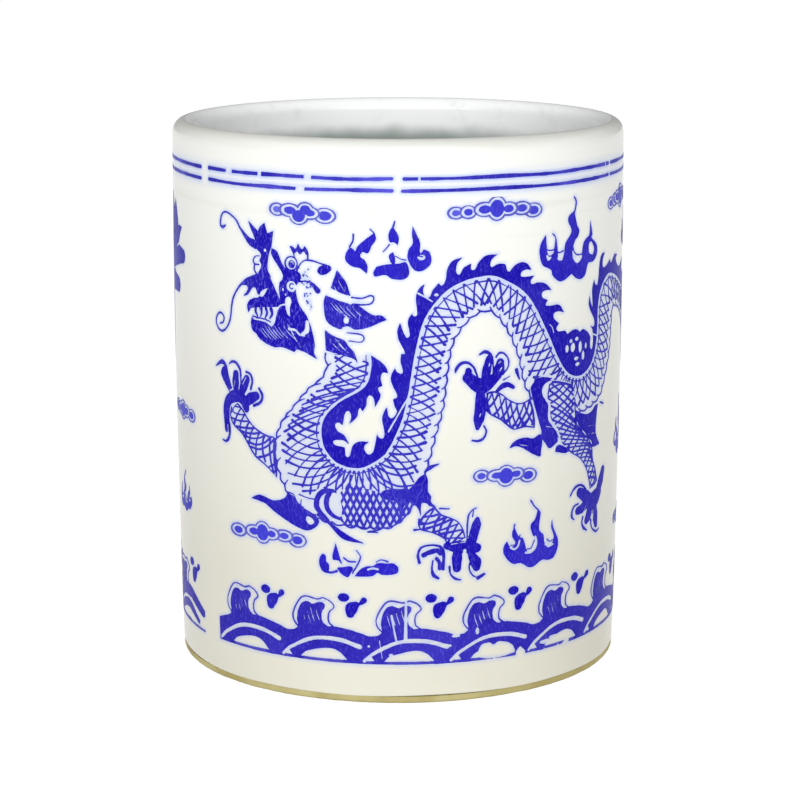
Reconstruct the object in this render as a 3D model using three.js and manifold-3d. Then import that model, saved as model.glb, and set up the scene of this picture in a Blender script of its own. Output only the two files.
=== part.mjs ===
// A blue-and-white porcelain brush pot: a straight-sided pot that stands on a desk and holds
// writing brushes upright. Millimetres, +Z up, origin on the desk at the centre of the foot, and
// the middle of the front dragon panel faces -Y.
//
// The fired body is a wall, a rolled lip, a floor slab and a bare foot ring, luted together. A
// glaze covers the outside, another lines the inside, and a third fills the recess underneath.
// Between wall and outer glaze lie the printed cobalt transfers: two long dragon panels and a
// double line under the lip, laid in six strips.
import * as THREE from "three";
import { mergeVertices } from "three/addons/utils/BufferGeometryUtils.js";
import Module from "manifold-3d";

const wasm = await Module();
wasm.setup();

// Driving dimensions of the glazed pot.
const HEIGHT = 120;
const FOOT_RADIUS = 49.1;
const BELLY_RADIUS = 50;
const RIM_RADIUS = 49.9;
const WALL_THICKNESS = 5.6;
const FLOOR_TOP = 9;
const GLAZE_THICKNESS = 0.45;

// The foot: a bare ring, with a shallow recess inside it.
const FOOT_HEIGHT = 3;
const FOOT_WIDTH = 5.8;
const FOOT_CHAMFER = 0.7;
const BARE_HEIGHT = 1.4;
const GLAZE_STEP = 0.6;

// The transfers: thin sheets in a pocket between the wall and the outer glaze.
const TRANSFER_THICKNESS = 0.12;
const POCKET = 0.35;
const PANEL_BOTTOM = 8;
const PANEL_TOP = 107;
const PANEL_START = -52.5;
const PANEL_SPAN = 172.5;
const PANELS = ["front", "back"];
const STRIP_BOTTOM = 108.8;
const STRIP_TOP = 113.2;
const STRIP_COUNT = 6;
const STRIP_SPAN = 57.5;

const CLEARANCE = 0.1;
const SEGMENTS = 72;
const WALL_LEVELS = 5;
const LIP_STEPS = 4;
const FILLET = 3;
const FILLET_STEPS = 3;

const LIP_ROUND = WALL_THICKNESS / 2;
const LIP_CENTRE = RIM_RADIUS - LIP_ROUND;
const LIP_LEVEL = HEIGHT - LIP_ROUND;
const LIP_BOTTOM = LIP_LEVEL - 2.2;
const INNER_RADIUS = RIM_RADIUS - WALL_THICKNESS;
const GLAZE_BACK = GLAZE_THICKNESS + CLEARANCE;

const clay = new THREE.MeshStandardMaterial({ color: 0xeeebe0, roughness: 0.75, metalness: 0 });
const bareClay = new THREE.MeshStandardMaterial({ color: 0xcdbf8c, roughness: 0.9, metalness: 0 });
const glaze = new THREE.MeshStandardMaterial({ color: 0xf6f5ee, roughness: 0.12, metalness: 0 });
const cobalt = new THREE.MeshStandardMaterial({ color: 0x3b32b4, roughness: 0.2, metalness: 0 });

// Outside radius of the glazed wall at a height: a straight taper with a slight belly.
function outsideRadius(z) {
  const t = z / HEIGHT;
  const belly = BELLY_RADIUS - (FOOT_RADIUS + RIM_RADIUS) / 2;
  return THREE.MathUtils.lerp(FOOT_RADIUS, RIM_RADIUS, t) + belly * 4 * t * (1 - t);
}

// Points up the wall between two heights, set in from the glazed outside.
function wallLine(bottom, top, inset) {
  return Array.from({ length: WALL_LEVELS }, (_, i) => {
    const z = THREE.MathUtils.lerp(bottom, top, i / (WALL_LEVELS - 1));
    return new THREE.Vector2(outsideRadius(z) - inset, z);
  });
}

// Points on an arc in the section plane. Angles in degrees, 0 outwards and 90 up.
function arc(centreR, centreZ, radius, from, to, steps) {
  return Array.from({ length: steps + 1 }, (_, i) => {
    const a = THREE.MathUtils.degToRad(THREE.MathUtils.lerp(from, to, i / steps));
    return new THREE.Vector2(centreR + radius * Math.cos(a), centreZ + radius * Math.sin(a));
  });
}

// Turns a closed section round the pot's axis. Its angle 0 faces -Y.
function turned(section) {
  return new THREE.LatheGeometry([...section, section[0].clone()], SEGMENTS).rotateX(Math.PI / 2);
}

// Turns a section that starts and ends on the axis.
function turnedDisc(section) {
  return new THREE.LatheGeometry(section, SEGMENTS).rotateX(Math.PI / 2);
}

function solidFrom(geometry) {
  const bare = geometry.clone().deleteAttribute("normal").deleteAttribute("uv");
  const merged = mergeVertices(bare, 1e-4);
  return new wasm.Manifold(
    new wasm.Mesh({
      numProp: 3,
      vertProperties: new Float32Array(merged.attributes.position.array),
      triVerts: new Uint32Array(merged.index.array),
    }),
  );
}

function geometryFrom(solid) {
  const mesh = solid.getMesh();
  return new THREE.BufferGeometry()
    .setAttribute("position", new THREE.BufferAttribute(mesh.vertProperties, 3))
    .setIndex(new THREE.BufferAttribute(mesh.triVerts, 1));
}

// A wedge of space round the axis, from one angle over a span in degrees, taller than the pot.
function wedge(start, span) {
  const reach = 2 * BELLY_RADIUS;
  const shape = new THREE.Shape();
  shape.moveTo(0, 0);
  const steps = Math.ceil(span / 30);
  for (let i = 0; i <= steps; i++) {
    const a = THREE.MathUtils.degToRad(start + (span * i) / steps);
    shape.lineTo(reach * Math.sin(a), -reach * Math.cos(a));
  }
  return new THREE.ExtrudeGeometry(shape, { depth: 2 * HEIGHT, bevelEnabled: false });
}

function named(name, geometry, material) {
  const mesh = new THREE.Mesh(geometry, material);
  mesh.name = name;
  return mesh;
}

// The biscuit body.
function makeWall() {
  const inner = INNER_RADIUS + GLAZE_BACK;
  const section = [
    new THREE.Vector2(inner, FOOT_HEIGHT),
    ...wallLine(FOOT_HEIGHT, LIP_BOTTOM, GLAZE_THICKNESS + POCKET),
    new THREE.Vector2(inner, LIP_BOTTOM),
  ];
  return named("wall", turned(section), clay);
}

function makeLip() {
  const round = LIP_ROUND - GLAZE_BACK;
  const section = [
    new THREE.Vector2(LIP_CENTRE + round, LIP_BOTTOM),
    ...arc(LIP_CENTRE, LIP_LEVEL, round, 0, 180, 2 * LIP_STEPS),
    new THREE.Vector2(LIP_CENTRE - round, LIP_BOTTOM),
  ];
  return named("lip", turned(section), clay);
}

function makeFloorSlab() {
  const radius = INNER_RADIUS + GLAZE_BACK - CLEARANCE;
  const top = FLOOR_TOP - GLAZE_BACK;
  const fillet = FILLET - GLAZE_BACK;
  const section = [
    new THREE.Vector2(0, FOOT_HEIGHT),
    new THREE.Vector2(radius, FOOT_HEIGHT),
    ...arc(radius - fillet, top + fillet, fillet, 0, -90, FILLET_STEPS),
    new THREE.Vector2(0, top),
  ];
  return named("floor_slab", turnedDisc(section), clay);
}

// The foot ring is stepped in behind the glaze, which stops short of the desk.
function makeFootRing() {
  const bare = FOOT_RADIUS - CLEARANCE;
  const inner = bare - FOOT_WIDTH;
  const rebate = bare - GLAZE_STEP;
  const section = [
    new THREE.Vector2(inner + FOOT_CHAMFER, 0),
    new THREE.Vector2(bare - FOOT_CHAMFER, 0),
    new THREE.Vector2(bare, FOOT_CHAMFER),
    new THREE.Vector2(bare, BARE_HEIGHT),
    new THREE.Vector2(rebate, BARE_HEIGHT),
    new THREE.Vector2(rebate, FOOT_HEIGHT),
    new THREE.Vector2(inner, FOOT_HEIGHT),
    new THREE.Vector2(inner, FOOT_CHAMFER),
  ];
  return named("foot_ring", turned(section), bareClay);
}

// The glazes.
function makeOuterGlaze() {
  const bottom = BARE_HEIGHT + CLEARANCE;
  const outer = wallLine(bottom, LIP_LEVEL, 0);
  const back = wallLine(bottom, LIP_LEVEL, GLAZE_THICKNESS).reverse();
  const over = arc(LIP_CENTRE, LIP_LEVEL, LIP_ROUND, 0, 90, LIP_STEPS).slice(1);
  const under = arc(LIP_CENTRE, LIP_LEVEL, LIP_ROUND - GLAZE_THICKNESS, 90, 0, LIP_STEPS);
  const section = [...outer, ...over, ...under.slice(0, -1), ...back];
  return named("outer_glaze", turned(section), glaze);
}

function makeInnerGlaze() {
  const thin = GLAZE_THICKNESS;
  const corner = INNER_RADIUS - FILLET;
  const level = FLOOR_TOP + FILLET;
  const section = [
    new THREE.Vector2(0, FLOOR_TOP - thin),
    ...arc(corner, level, FILLET + thin, -90, 0, FILLET_STEPS),
    ...arc(LIP_CENTRE, LIP_LEVEL, LIP_ROUND - thin, 180, 90, LIP_STEPS),
    ...arc(LIP_CENTRE, LIP_LEVEL, LIP_ROUND, 90, 180, LIP_STEPS),
    ...arc(corner, level, FILLET, 0, -90, FILLET_STEPS),
    new THREE.Vector2(0, FLOOR_TOP),
  ];
  return named("inner_glaze", turnedDisc(section), glaze);
}

function makeBaseGlaze() {
  const radius = FOOT_RADIUS - FOOT_WIDTH - 2 * CLEARANCE;
  const top = FOOT_HEIGHT - CLEARANCE;
  const section = [
    new THREE.Vector2(0, top - GLAZE_THICKNESS),
    new THREE.Vector2(radius, top - GLAZE_THICKNESS),
    new THREE.Vector2(radius, top),
    new THREE.Vector2(0, top),
  ];
  return named("base_glaze", turnedDisc(section), glaze);
}

// A printed sheet wrapped on the wall, from one angle over a span in degrees.
function transfer(name, bottom, top, start, span) {
  const outerInset = GLAZE_THICKNESS + CLEARANCE;
  const section = [
    ...wallLine(bottom, top, outerInset),
    ...wallLine(bottom, top, outerInset + TRANSFER_THICKNESS).reverse(),
  ];
  const sheet = solidFrom(turned(section)).intersect(solidFrom(wedge(start, span)));
  return named(name, geometryFrom(sheet), cobalt);
}

const body = new THREE.Group();
body.add(makeWall(), makeLip(), makeFloorSlab(), makeFootRing());

const glazes = new THREE.Group();
glazes.add(makeOuterGlaze(), makeInnerGlaze(), makeBaseGlaze());

const transfers = new THREE.Group();
PANELS.forEach((side, i) => {
  const start = PANEL_START + (i * 360) / PANELS.length;
  transfers.add(transfer(`dragon_transfer_${side}`, PANEL_BOTTOM, PANEL_TOP, start, PANEL_SPAN));
});
for (let i = 0; i < STRIP_COUNT; i++) {
  const start = (i * 360) / STRIP_COUNT + (360 / STRIP_COUNT - STRIP_SPAN) / 2;
  transfers.add(transfer(`line_strip_${i + 1}`, STRIP_BOTTOM, STRIP_TOP, start, STRIP_SPAN));
}

const brushPot = new THREE.Group();
brushPot.add(body, glazes, transfers);

export default brushPot;
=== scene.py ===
"""Looks of a blue-and-white porcelain brush pot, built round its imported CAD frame.

The pot is a fired wall, lip, floor and foot ring under three coats of glaze. The cobalt drawing is
laid out flat, in millimetres along and up the wall, as signed-distance sheets. Each sheet is traced
into thin solid pieces of ink that wrap round the wall, so that the drawing is real geometry.
Outlines are written as "u,v u,v*" with smooth lines between the points and a star at a corner.
Brush strokes are written as "width,width: u,v u,v" with semicolons between them.
"""

import logging
import math
from dataclasses import dataclass, field
from enum import Enum
from typing import Any, Callable, Sequence

import bpy
import numpy as np
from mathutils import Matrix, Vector
from mathutils.geometry import delaunay_2d_cdt


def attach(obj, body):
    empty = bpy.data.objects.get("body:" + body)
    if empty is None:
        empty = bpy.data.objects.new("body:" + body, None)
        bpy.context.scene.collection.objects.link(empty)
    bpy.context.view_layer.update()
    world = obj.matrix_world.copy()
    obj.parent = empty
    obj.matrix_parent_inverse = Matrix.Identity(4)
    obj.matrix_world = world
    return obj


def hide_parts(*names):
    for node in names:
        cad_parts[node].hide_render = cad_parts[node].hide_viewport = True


LOG = logging.getLogger("brush_pot")
MM = 0.001
EVEN = (1.0, 1.0, 1.0)
Point = tuple[float, ...]
Path = str | Sequence[Point]
Mark = tuple[str, list[float]]


class Slot(Enum):
    """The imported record's material slots that the pieces stand for."""

    FOOT = "bare_foot"
    GLAZE = "white_glaze"
    COBALT = "cobalt_transfer"


class Side(Enum):
    """The two sides of the pot that carry a dragon sheet, with the turn in degrees."""

    FRONT = 0
    BACK = 180


def linear(red: int, green: int, blue: int) -> tuple[float, float, float, float]:
    """A display colour of 0 to 255 a channel as a linear shader colour."""
    shares = [c / 255 for c in (red, green, blue)]
    return tuple(c / 12.92 if c <= 0.04045 else ((c + 0.055) / 1.055) ** 2.4 for c in shares) + (1.0,)


# Shader expressions.
class Value:
    """A shader socket that takes part in Python arithmetic; each operation adds a Math node."""

    def __init__(self, graph: "Graph", socket: bpy.types.NodeSocket) -> None:
        """Keeps the graph that the socket belongs to."""
        self.graph = graph
        self.socket = socket

    def _math(self, operation: str, first: Any, second: Any) -> "Value":
        """Adds one Math node for two values or numbers."""
        made = self.graph.node("ShaderNodeMath", {"operation": operation}, {0: first, 1: second})
        return Value(self.graph, made.outputs[0])

    def __add__(self, other: Any) -> "Value":
        """Sum."""
        return self._math("ADD", self, other)

    __radd__ = __add__

    def __mul__(self, other: Any) -> "Value":
        """Product."""
        return self._math("MULTIPLY", self, other)

    __rmul__ = __mul__

    def __sub__(self, other: Any) -> "Value":
        """Difference."""
        return self._math("SUBTRACT", self, other)

    def __rsub__(self, other: Any) -> "Value":
        """Difference, with this value taken away."""
        return self._math("SUBTRACT", other, self)

    def __truediv__(self, other: Any) -> "Value":
        """Quotient."""
        return self._math("DIVIDE", self, other)

    def __pow__(self, other: Any) -> "Value":
        """Power."""
        return self._math("POWER", self, other)

    def above(self, low: float, high: float) -> "Value":
        """A soft step from 0 at low to 1 at high."""
        inputs = {"Value": self, "From Min": low, "From Max": high}
        made = self.graph.node("ShaderNodeMapRange", {"interpolation_type": "SMOOTHSTEP"}, inputs)
        return Value(self.graph, made.outputs[0])


class Graph:
    """One material's node tree, ending in a Principled shader."""

    def __init__(self, name: str) -> None:
        """Starts an empty material."""
        self.material = bpy.data.materials.new(name)
        self.material.use_nodes = True
        self.tree = self.material.node_tree
        self.tree.nodes.clear()

    def node(self, kind: str, settings: dict[str, Any], inputs: dict[Any, Any]) -> bpy.types.Node:
        """Adds a node.

        Args:
            kind: the node's type.
            settings: its properties, set first; "stops" holds a ramp's (place, colour) pairs.
            inputs: numbers, colours or Values for its sockets, by name or index.

        Returns:
            The new node.
        """
        made = self.tree.nodes.new(kind)
        for key, setting in settings.items():
            if key == "stops":
                ramp = made.color_ramp
                while len(ramp.elements) < len(setting):
                    ramp.elements.new(1.0)
                for element, (place, colour) in zip(ramp.elements, setting):
                    element.position = place
                    element.color = colour
            else:
                setattr(made, key, setting)
        for key, given in inputs.items():
            if isinstance(given, Value):
                self.tree.links.new(given.socket, made.inputs[key])
            else:
                made.inputs[key].default_value = given
        return made

    def mix(self, share: Any, first: Any, second: Any) -> Value:
        """Mixes two colours by a share of the second."""
        inputs = {0: share, 6: first, 7: second}
        made = self.node("ShaderNodeMix", {"data_type": "RGBA"}, inputs)
        return Value(self, made.outputs[2])

    def place(self, stretch: Point = EVEN) -> Value:
        """The object's own coordinates in metres, scaled along each axis."""
        spot = Value(self, self.node("ShaderNodeTexCoord", {}, {}).outputs["Object"])
        if stretch == EVEN:
            return spot
        made = self.node("ShaderNodeVectorMath", {"operation": "MULTIPLY"}, {0: spot, 1: stretch})
        return Value(self, made.outputs[0])

    def height(self) -> Value:
        """Height above the desk, in metres."""
        parts = self.node("ShaderNodeSeparateXYZ", {}, {0: self.place()})
        return Value(self, parts.outputs["Z"])

    def noise(self, size: float, detail: float = 2.0, roughness: float = 0.5,
              stretch: Point = EVEN) -> Value:
        """Cloudy noise.

        Args:
            size: the size of its patches in millimetres.
            detail: how many finer layers it has.
            roughness: how strong the finer layers are.
            stretch: how much finer it is along each axis.

        Returns:
            A value from 0 to 1.
        """
        inputs = {"Vector": self.place(stretch), "Scale": 1 / (size * MM), "Detail": detail,
                  "Roughness": roughness}
        return Value(self, self.node("ShaderNodeTexNoise", {}, inputs).outputs[0])

    def specks(self, spacing: float, radius: float) -> Value:
        """Scattered round specks: 1 inside a speck, 0 outside.

        Args:
            spacing: the distance between them in millimetres.
            radius: the radius of the largest ones in millimetres.

        Returns:
            A mask with soft edges.
        """
        inputs = {"Vector": self.place(), "Scale": 1 / (spacing * MM)}
        cells = self.node("ShaderNodeTexVoronoi", {}, inputs)
        chance = self.node("ShaderNodeSeparateColor", {}, {0: Value(self, cells.outputs["Color"])})
        size = Value(self, chance.outputs[0]) ** 6.0 * (radius / spacing)
        return (size - Value(self, cells.outputs["Distance"])).above(0.0, 0.35 * radius / spacing)

    def attribute(self, name: str) -> Value:
        """A number stored on the mesh."""
        return Value(self, self.node("ShaderNodeAttribute", {"attribute_name": name}, {}).outputs["Fac"])

    def bump(self, height: Value, depth: float) -> Value:
        """A normal bumped by a relief from 0 to 1 of some depth in millimetres."""
        inputs = {"Strength": 1.0, "Distance": depth * MM, "Height": height}
        return Value(self, self.node("ShaderNodeBump", {}, inputs).outputs[0])

    def finish(self, constants: dict[str, Any], varying: dict[str, Value]) -> bpy.types.Material:
        """Ends the tree in a Principled shader.

        Args:
            constants: socket values that are the same all over.
            varying: sockets that change over the surface.

        Returns:
            The material.
        """
        shader = self.node("ShaderNodeBsdfPrincipled", {}, {**constants, **varying})
        ending = self.node("ShaderNodeOutputMaterial", {}, {})
        self.tree.links.new(shader.outputs[0], ending.inputs[0])
        return self.material


# Finishes.
@dataclass(frozen=True)
class OutsideGlaze:
    """Glossy white glaze, creamier and darker low down, partly a creamy tone and partly painted shade,
    stained a pale blue round the cobalt.
    """

    RINGS = (1.0, 1.0, 18.0)

    bright: tuple = linear(219, 220, 215)
    # creamy tone and painted shade: the darker, warmer colour of the lower wall
    cream_and_low_shade: tuple = linear(194, 191, 176)
    ring_shade: tuple = linear(197, 194, 184)
    stain: tuple = linear(108, 140, 222)
    iron: tuple = linear(150, 140, 118)
    full_height: float = 0.120
    roughness: float = 0.20

    def material(self) -> bpy.types.Material:
        """Builds the material."""
        g = Graph("outside_glaze")
        # partly painted shade: the wall darkens and warms towards the bottom, a creamy tone and a painted
        # darkening together
        tint = 1 - g.height().above(0.0, self.full_height)
        cloud = g.noise(34.0, 3.0)
        ground = g.mix(tint * (0.62 + 0.5 * cloud), self.bright, self.cream_and_low_shade)
        rings = g.noise(60.0, 2.0, 0.5, self.RINGS).above(0.5, 0.72) * 0.3
        ringed = g.mix(rings * g.height().above(0.085, 0.108), ground, self.ring_shade)
        stained = g.mix(g.attribute("cobalt_haze"), ringed, self.stain)
        specks = g.specks(9.0, 0.34) * 0.55
        colour = g.mix(specks, stained, self.iron)
        ripple = g.noise(6.5, 1.5) * 0.7 + g.noise(1.1, 2.0) * 0.1
        pits = g.specks(5.0, 0.22)
        relief = ripple - 0.5 * pits
        roughness = self.roughness + 0.05 * g.noise(12.0, 3.0) + 0.25 * pits
        return g.finish(
            {"Specular IOR Level": 0.22, "IOR": 1.5},
            {"Base Color": colour, "Roughness": roughness, "Normal": g.bump(relief, 0.035)},
        )


@dataclass(frozen=True)
class InsideGlaze:
    """Thin cool glaze inside the pot, streaked grey, with painted shade that turns it greener and greyer
    below the lip.
    """

    name: str = "inside_glaze"
    bright: tuple = linear(254, 255, 255)
    # painted shade: the dark grey-green of the inner wall below the fade heights; on the base, a plain lower
    # tone
    low: tuple = linear(152, 162, 157)
    fade_from: float = 0.1098
    fade_to: float = 0.1146

    def material(self) -> bpy.types.Material:
        """Builds the material."""
        g = Graph(self.name)
        uneven = (g.noise(9.0, 2.0) - 0.5) * 0.003
        # painted shade: below the fade heights the inner wall turns to the low colour, standing in for the
        # shadow of the front wall
        rise = (g.height() + uneven).above(self.fade_from, self.fade_to)
        ground = g.mix(rise, self.low, self.bright)
        streaks = g.noise(5.0, 4.0, 0.6).above(0.52, 0.8) * 0.18
        colour = g.mix(streaks + 0.5 * g.specks(7.0, 0.3), ground, linear(150, 152, 140))
        relief = g.noise(5.0, 2.0) + 0.3 * g.noise(0.9, 2.0)
        roughness = 0.16 + 0.14 * g.noise(8.0, 3.0)
        return g.finish(
            {"Specular IOR Level": 0.45, "IOR": 1.5},
            {"Base Color": colour, "Roughness": roughness, "Normal": g.bump(relief, 0.05)},
        )


@dataclass(frozen=True)
class CobaltInk:
    """Cobalt under the glaze: deep where it lies thick, paler and streaky where it is thin."""

    HAIRS = (1.0, 1.0, 0.35)

    name: str
    deep: tuple = linear(22, 11, 151)
    thin: tuple = linear(50, 46, 162)
    dark: tuple = linear(12, 4, 114)
    worn_through: tuple = linear(88, 84, 198)
    streak: float = 0.3
    worn: float = 0.12

    def material(self) -> bpy.types.Material:
        """Builds the material."""
        g = Graph(self.name)
        load = g.attribute("ink_load")
        cloud = g.noise(3.2, 4.0, 0.62)
        body = g.mix(load.above(0.12, 0.75), self.thin, self.deep)
        pooled = g.mix(cloud.above(0.5, 0.8) * 0.6, body, self.dark)
        hairs = g.noise(0.34, 1.5, 0.5, self.HAIRS).above(0.5, 0.72) * self.streak
        patches = g.noise(13.0, 2.0).above(0.46, 0.7) * self.worn
        colour = g.mix(hairs + patches, pooled, self.worn_through)
        relief = g.noise(6.5, 1.5) * 0.7 + g.noise(0.6, 2.0) * 0.12
        roughness = 0.30 + 0.10 * cloud
        return g.finish(
            {"Specular IOR Level": 0.04, "IOR": 1.5},
            {"Base Color": colour, "Roughness": roughness, "Normal": g.bump(relief, 0.03)},
        )


@dataclass(frozen=True)
class Biscuit:
    """Fired white clay under the glaze: matt, close-grained, faintly warm."""

    def material(self) -> bpy.types.Material:
        """Builds the material."""
        g = Graph("biscuit_clay")
        grain = g.noise(0.5, 5.0, 0.65)
        colour = g.mix(grain, linear(222, 217, 202), linear(240, 237, 226))
        return g.finish(
            {"Specular IOR Level": 0.3},
            {"Base Color": colour, "Roughness": 0.7 + 0.2 * grain,
             "Normal": g.bump(grain + g.specks(2.2, 0.3), 0.04)},
        )


@dataclass(frozen=True)
class BareFoot:
    """Unglazed clay on the foot ring: toasted tan, gritty, rubbed darker on its bottom edge."""

    pale: tuple = linear(172, 163, 115)
    toasted: tuple = linear(151, 139, 88)
    rubbed: tuple = linear(112, 96, 58)

    def material(self) -> bpy.types.Material:
        """Builds the material."""
        g = Graph("bare_foot_clay")
        toast = g.noise(14.0, 4.0, 0.6)
        grit = g.noise(0.35, 4.0, 0.7)
        ground = g.mix(toast.above(0.35, 0.7), self.pale, self.toasted)
        wear = (1 - g.height().above(0.0, 0.0007)) * (0.35 + 0.5 * grit)
        worn = g.mix(wear, ground, self.rubbed)
        colour = g.mix(g.specks(1.6, 0.3) * 0.7, worn, linear(96, 78, 50))
        return g.finish(
            {"Specular IOR Level": 0.25},
            {"Base Color": colour, "Roughness": 0.78 + 0.18 * grit,
             "Normal": g.bump(grit + 0.6 * g.noise(1.5, 2.0), 0.09)},
        )


@dataclass(frozen=True)
class PaleFloor:
    """The plain pale floor that the pot stands on, lit from below like a light table."""

    glow: float = 0.86

    def material(self) -> bpy.types.Material:
        """Builds the material."""
        g = Graph("pale_floor")
        tone = g.mix(g.noise(400.0, 1.0), linear(148, 148, 148), linear(152, 152, 152))
        glow = {"Emission Color": (1.0, 1.0, 1.0, 1.0), "Emission Strength": self.glow}
        return g.finish({"Roughness": 0.9, "Specular IOR Level": 0.0, **glow}, {"Base Color": tone})


# The pot's form.
@dataclass(frozen=True)
class PotForm:
    """The thrown form, in millimetres, and where a spot on the unrolled wall lies in space."""

    height: float = 120.0
    foot_radius: float = 49.1
    belly: float = 0.5
    rim_radius: float = 49.9
    unroll_radius: float = 50.0
    lip_round: float = 2.8
    glaze: float = 0.45
    sunk: float = 0.08
    ink_proud: float = 0.05

    @property
    def lip_centre(self) -> float:
        """Radius of the circle that the lip's round follows."""
        return self.rim_radius - self.lip_round

    @property
    def lip_level(self) -> float:
        """Height of the centre of the lip's round."""
        return self.height - self.lip_round

    def outside(self, z: np.ndarray) -> np.ndarray:
        """Outside radius at a height."""
        t = z / self.height
        return self.foot_radius + (self.rim_radius - self.foot_radius) * t + self.belly * 4 * t * (1 - t)

    def ripple(self, angle: np.ndarray, z: np.ndarray) -> np.ndarray:
        """Slight hand-made unevenness of the glaze, never proud of the form."""
        turning = np.sin(3 * angle + z / 19) + 0.6 * np.sin(5 * angle - z / 11 + 1.3)
        rings = np.sin(z / 1.05 + 0.7 * np.sin(2 * angle)) * np.exp(-((z - 107) / 9) ** 2)
        long_waves = np.sin(z / 5.3 + 2 * angle)
        return 0.011 * turning + 0.012 * rings + 0.008 * long_waves - 0.01

    def wrap(self, u: np.ndarray, v: np.ndarray, proud: float, turn: float) -> np.ndarray:
        """Wraps spots of the flat drawing round the wall.

        Args:
            u: distances along the wall from the front, in millimetres, right is positive.
            v: heights in millimetres.
            proud: how far the spots stand above the glaze, in millimetres.
            turn: a turn round the pot in degrees.

        Returns:
            Points in metres, one row each.
        """
        angle = u / self.unroll_radius + math.radians(turn)
        radius = self.outside(v) - self.sunk + self.ripple(angle, v) + proud
        return np.stack([radius * np.sin(angle), -radius * np.cos(angle), v], axis=1) * MM


# Mesh helpers.
def make_piece(
    name: str,
    points: np.ndarray,
    faces: Sequence[Sequence[int]],
    material: bpy.types.Material,
    replaces: Sequence[str] = (),
) -> bpy.types.Object:
    """Makes a mesh piece that rides on the pot.

    Args:
        name: the piece's name.
        points: vertices in metres.
        faces: vertex numbers of each face.
        material: its finish.
        replaces: CAD nodes that the piece stands for.

    Returns:
        The new object.
    """
    mesh = bpy.data.meshes.new(name)
    mesh.from_pydata(points.tolist(), [], [list(f) for f in faces])
    mesh.materials.append(material)
    piece = bpy.data.objects.new(name, mesh)
    bpy.context.scene.collection.objects.link(piece)
    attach(piece, "root")
    if replaces:
        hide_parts(*replaces)
    LOG.info("%s: %d vertices, %d faces", name, len(points), len(mesh.polygons))
    return piece


def store(piece: bpy.types.Object, name: str, numbers: np.ndarray) -> None:
    """Stores one number for each vertex of a piece."""
    made = piece.data.attributes.new(name, "FLOAT", "POINT")
    made.data.foreach_set("value", np.asarray(numbers, np.float32))


def turned(profile: np.ndarray, columns: int, shift: Callable | None = None) -> tuple:
    """Turns a closed section round the pot's axis.

    Args:
        profile: (radius, height) points in millimetres; a radius of 0 lies on the axis.
        columns: how many points there are round the pot.
        shift: moves a ring's radii, given angles, heights and the row number.

    Returns:
        The vertices in metres and the faces.
    """
    angle = np.linspace(0, 2 * math.pi, columns, endpoint=False)
    rows = len(profile)
    radius = np.repeat(profile[:, :1], columns, axis=1)
    level = np.repeat(profile[:, 1:], columns, axis=1)
    if shift is not None:
        radius, level = shift(radius, level, np.repeat(angle[None, :], rows, axis=0))
    points, first, faces = [], [], []
    for row in range(rows):
        first.append(len(points))
        on_axis = profile[row, 0] < 1e-6
        for column in range(1 if on_axis else columns):
            r, a = radius[row, column], angle[column]
            points.append((r * math.sin(a), -r * math.cos(a), level[row, column]))
    for row in range(rows):
        after = (row + 1) % rows
        low_axis, high_axis = profile[row, 0] < 1e-6, profile[after, 0] < 1e-6
        if low_axis and high_axis:
            continue
        for column in range(columns):
            beside = (column + 1) % columns
            a, b = first[row] + column, first[row] + beside
            c, d = first[after] + beside, first[after] + column
            if low_axis:
                faces.append((first[row], c, d))
            elif high_axis:
                faces.append((a, b, first[after]))
            else:
                faces.append((a, b, c, d))
    return np.array(points) * MM, faces


def arc(centre: Point, radius: float, start: float, end: float, steps: int) -> list[Point]:
    """Points on an arc of a section, with angles in degrees, 0 outwards and 90 up."""
    turns = [math.radians(start + (end - start) * i / steps) for i in range(steps + 1)]
    return [(centre[0] + radius * math.cos(a), centre[1] + radius * math.sin(a)) for a in turns]


def smooth_shade(piece: bpy.types.Object, limit: float) -> None:
    """Shades a piece smooth, but for edges sharper than the limit in degrees."""
    piece.data.shade_smooth()
    piece.data.set_sharp_from_angle(angle=math.radians(limit))


def value_noise(shape: tuple[int, int], period: float, seed: int) -> np.ndarray:
    """Smooth random numbers from -1 to 1 on a grid.

    Args:
        shape: rows and columns.
        period: cells between the random knots.
        seed: the seed of the draw.

    Returns:
        An array of that shape.
    """
    rows, columns = shape
    high, wide = int(rows / period) + 3, int(columns / period) + 3
    knots = np.random.default_rng(seed).uniform(-1, 1, (high, wide))
    y, x = np.arange(rows) / period, np.arange(columns) / period
    i, j = y.astype(int), x.astype(int)
    fy, fx = y - i, x - j
    fy, fx = fy * fy * (3 - 2 * fy), fx * fx * (3 - 2 * fx)
    low = knots[i][:, j] * (1 - fx) + knots[i][:, j + 1] * fx
    high_row = knots[i + 1][:, j] * (1 - fx) + knots[i + 1][:, j + 1] * fx
    return low * (1 - fy[:, None]) + high_row * fy[:, None]


# Drawing.
def path(points: Path) -> list[Point]:
    """Reads points written as "u,v u,v*"; a star makes a corner, which adds a third number."""
    if not isinstance(points, str):
        return [tuple(p) for p in points]
    words = points.split()
    return [(*map(float, word.rstrip("*").split(",")), *[1.0] * word.count("*")) for word in words]


def marks(table: str) -> list[Mark]:
    """Reads brush strokes written as "width,width: u,v u,v; width: u,v u,v"."""
    pairs = [mark.split(":") for mark in table.split(";")]
    return [(line, [float(width) for width in widths.split(",")]) for widths, line in pairs]


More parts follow.
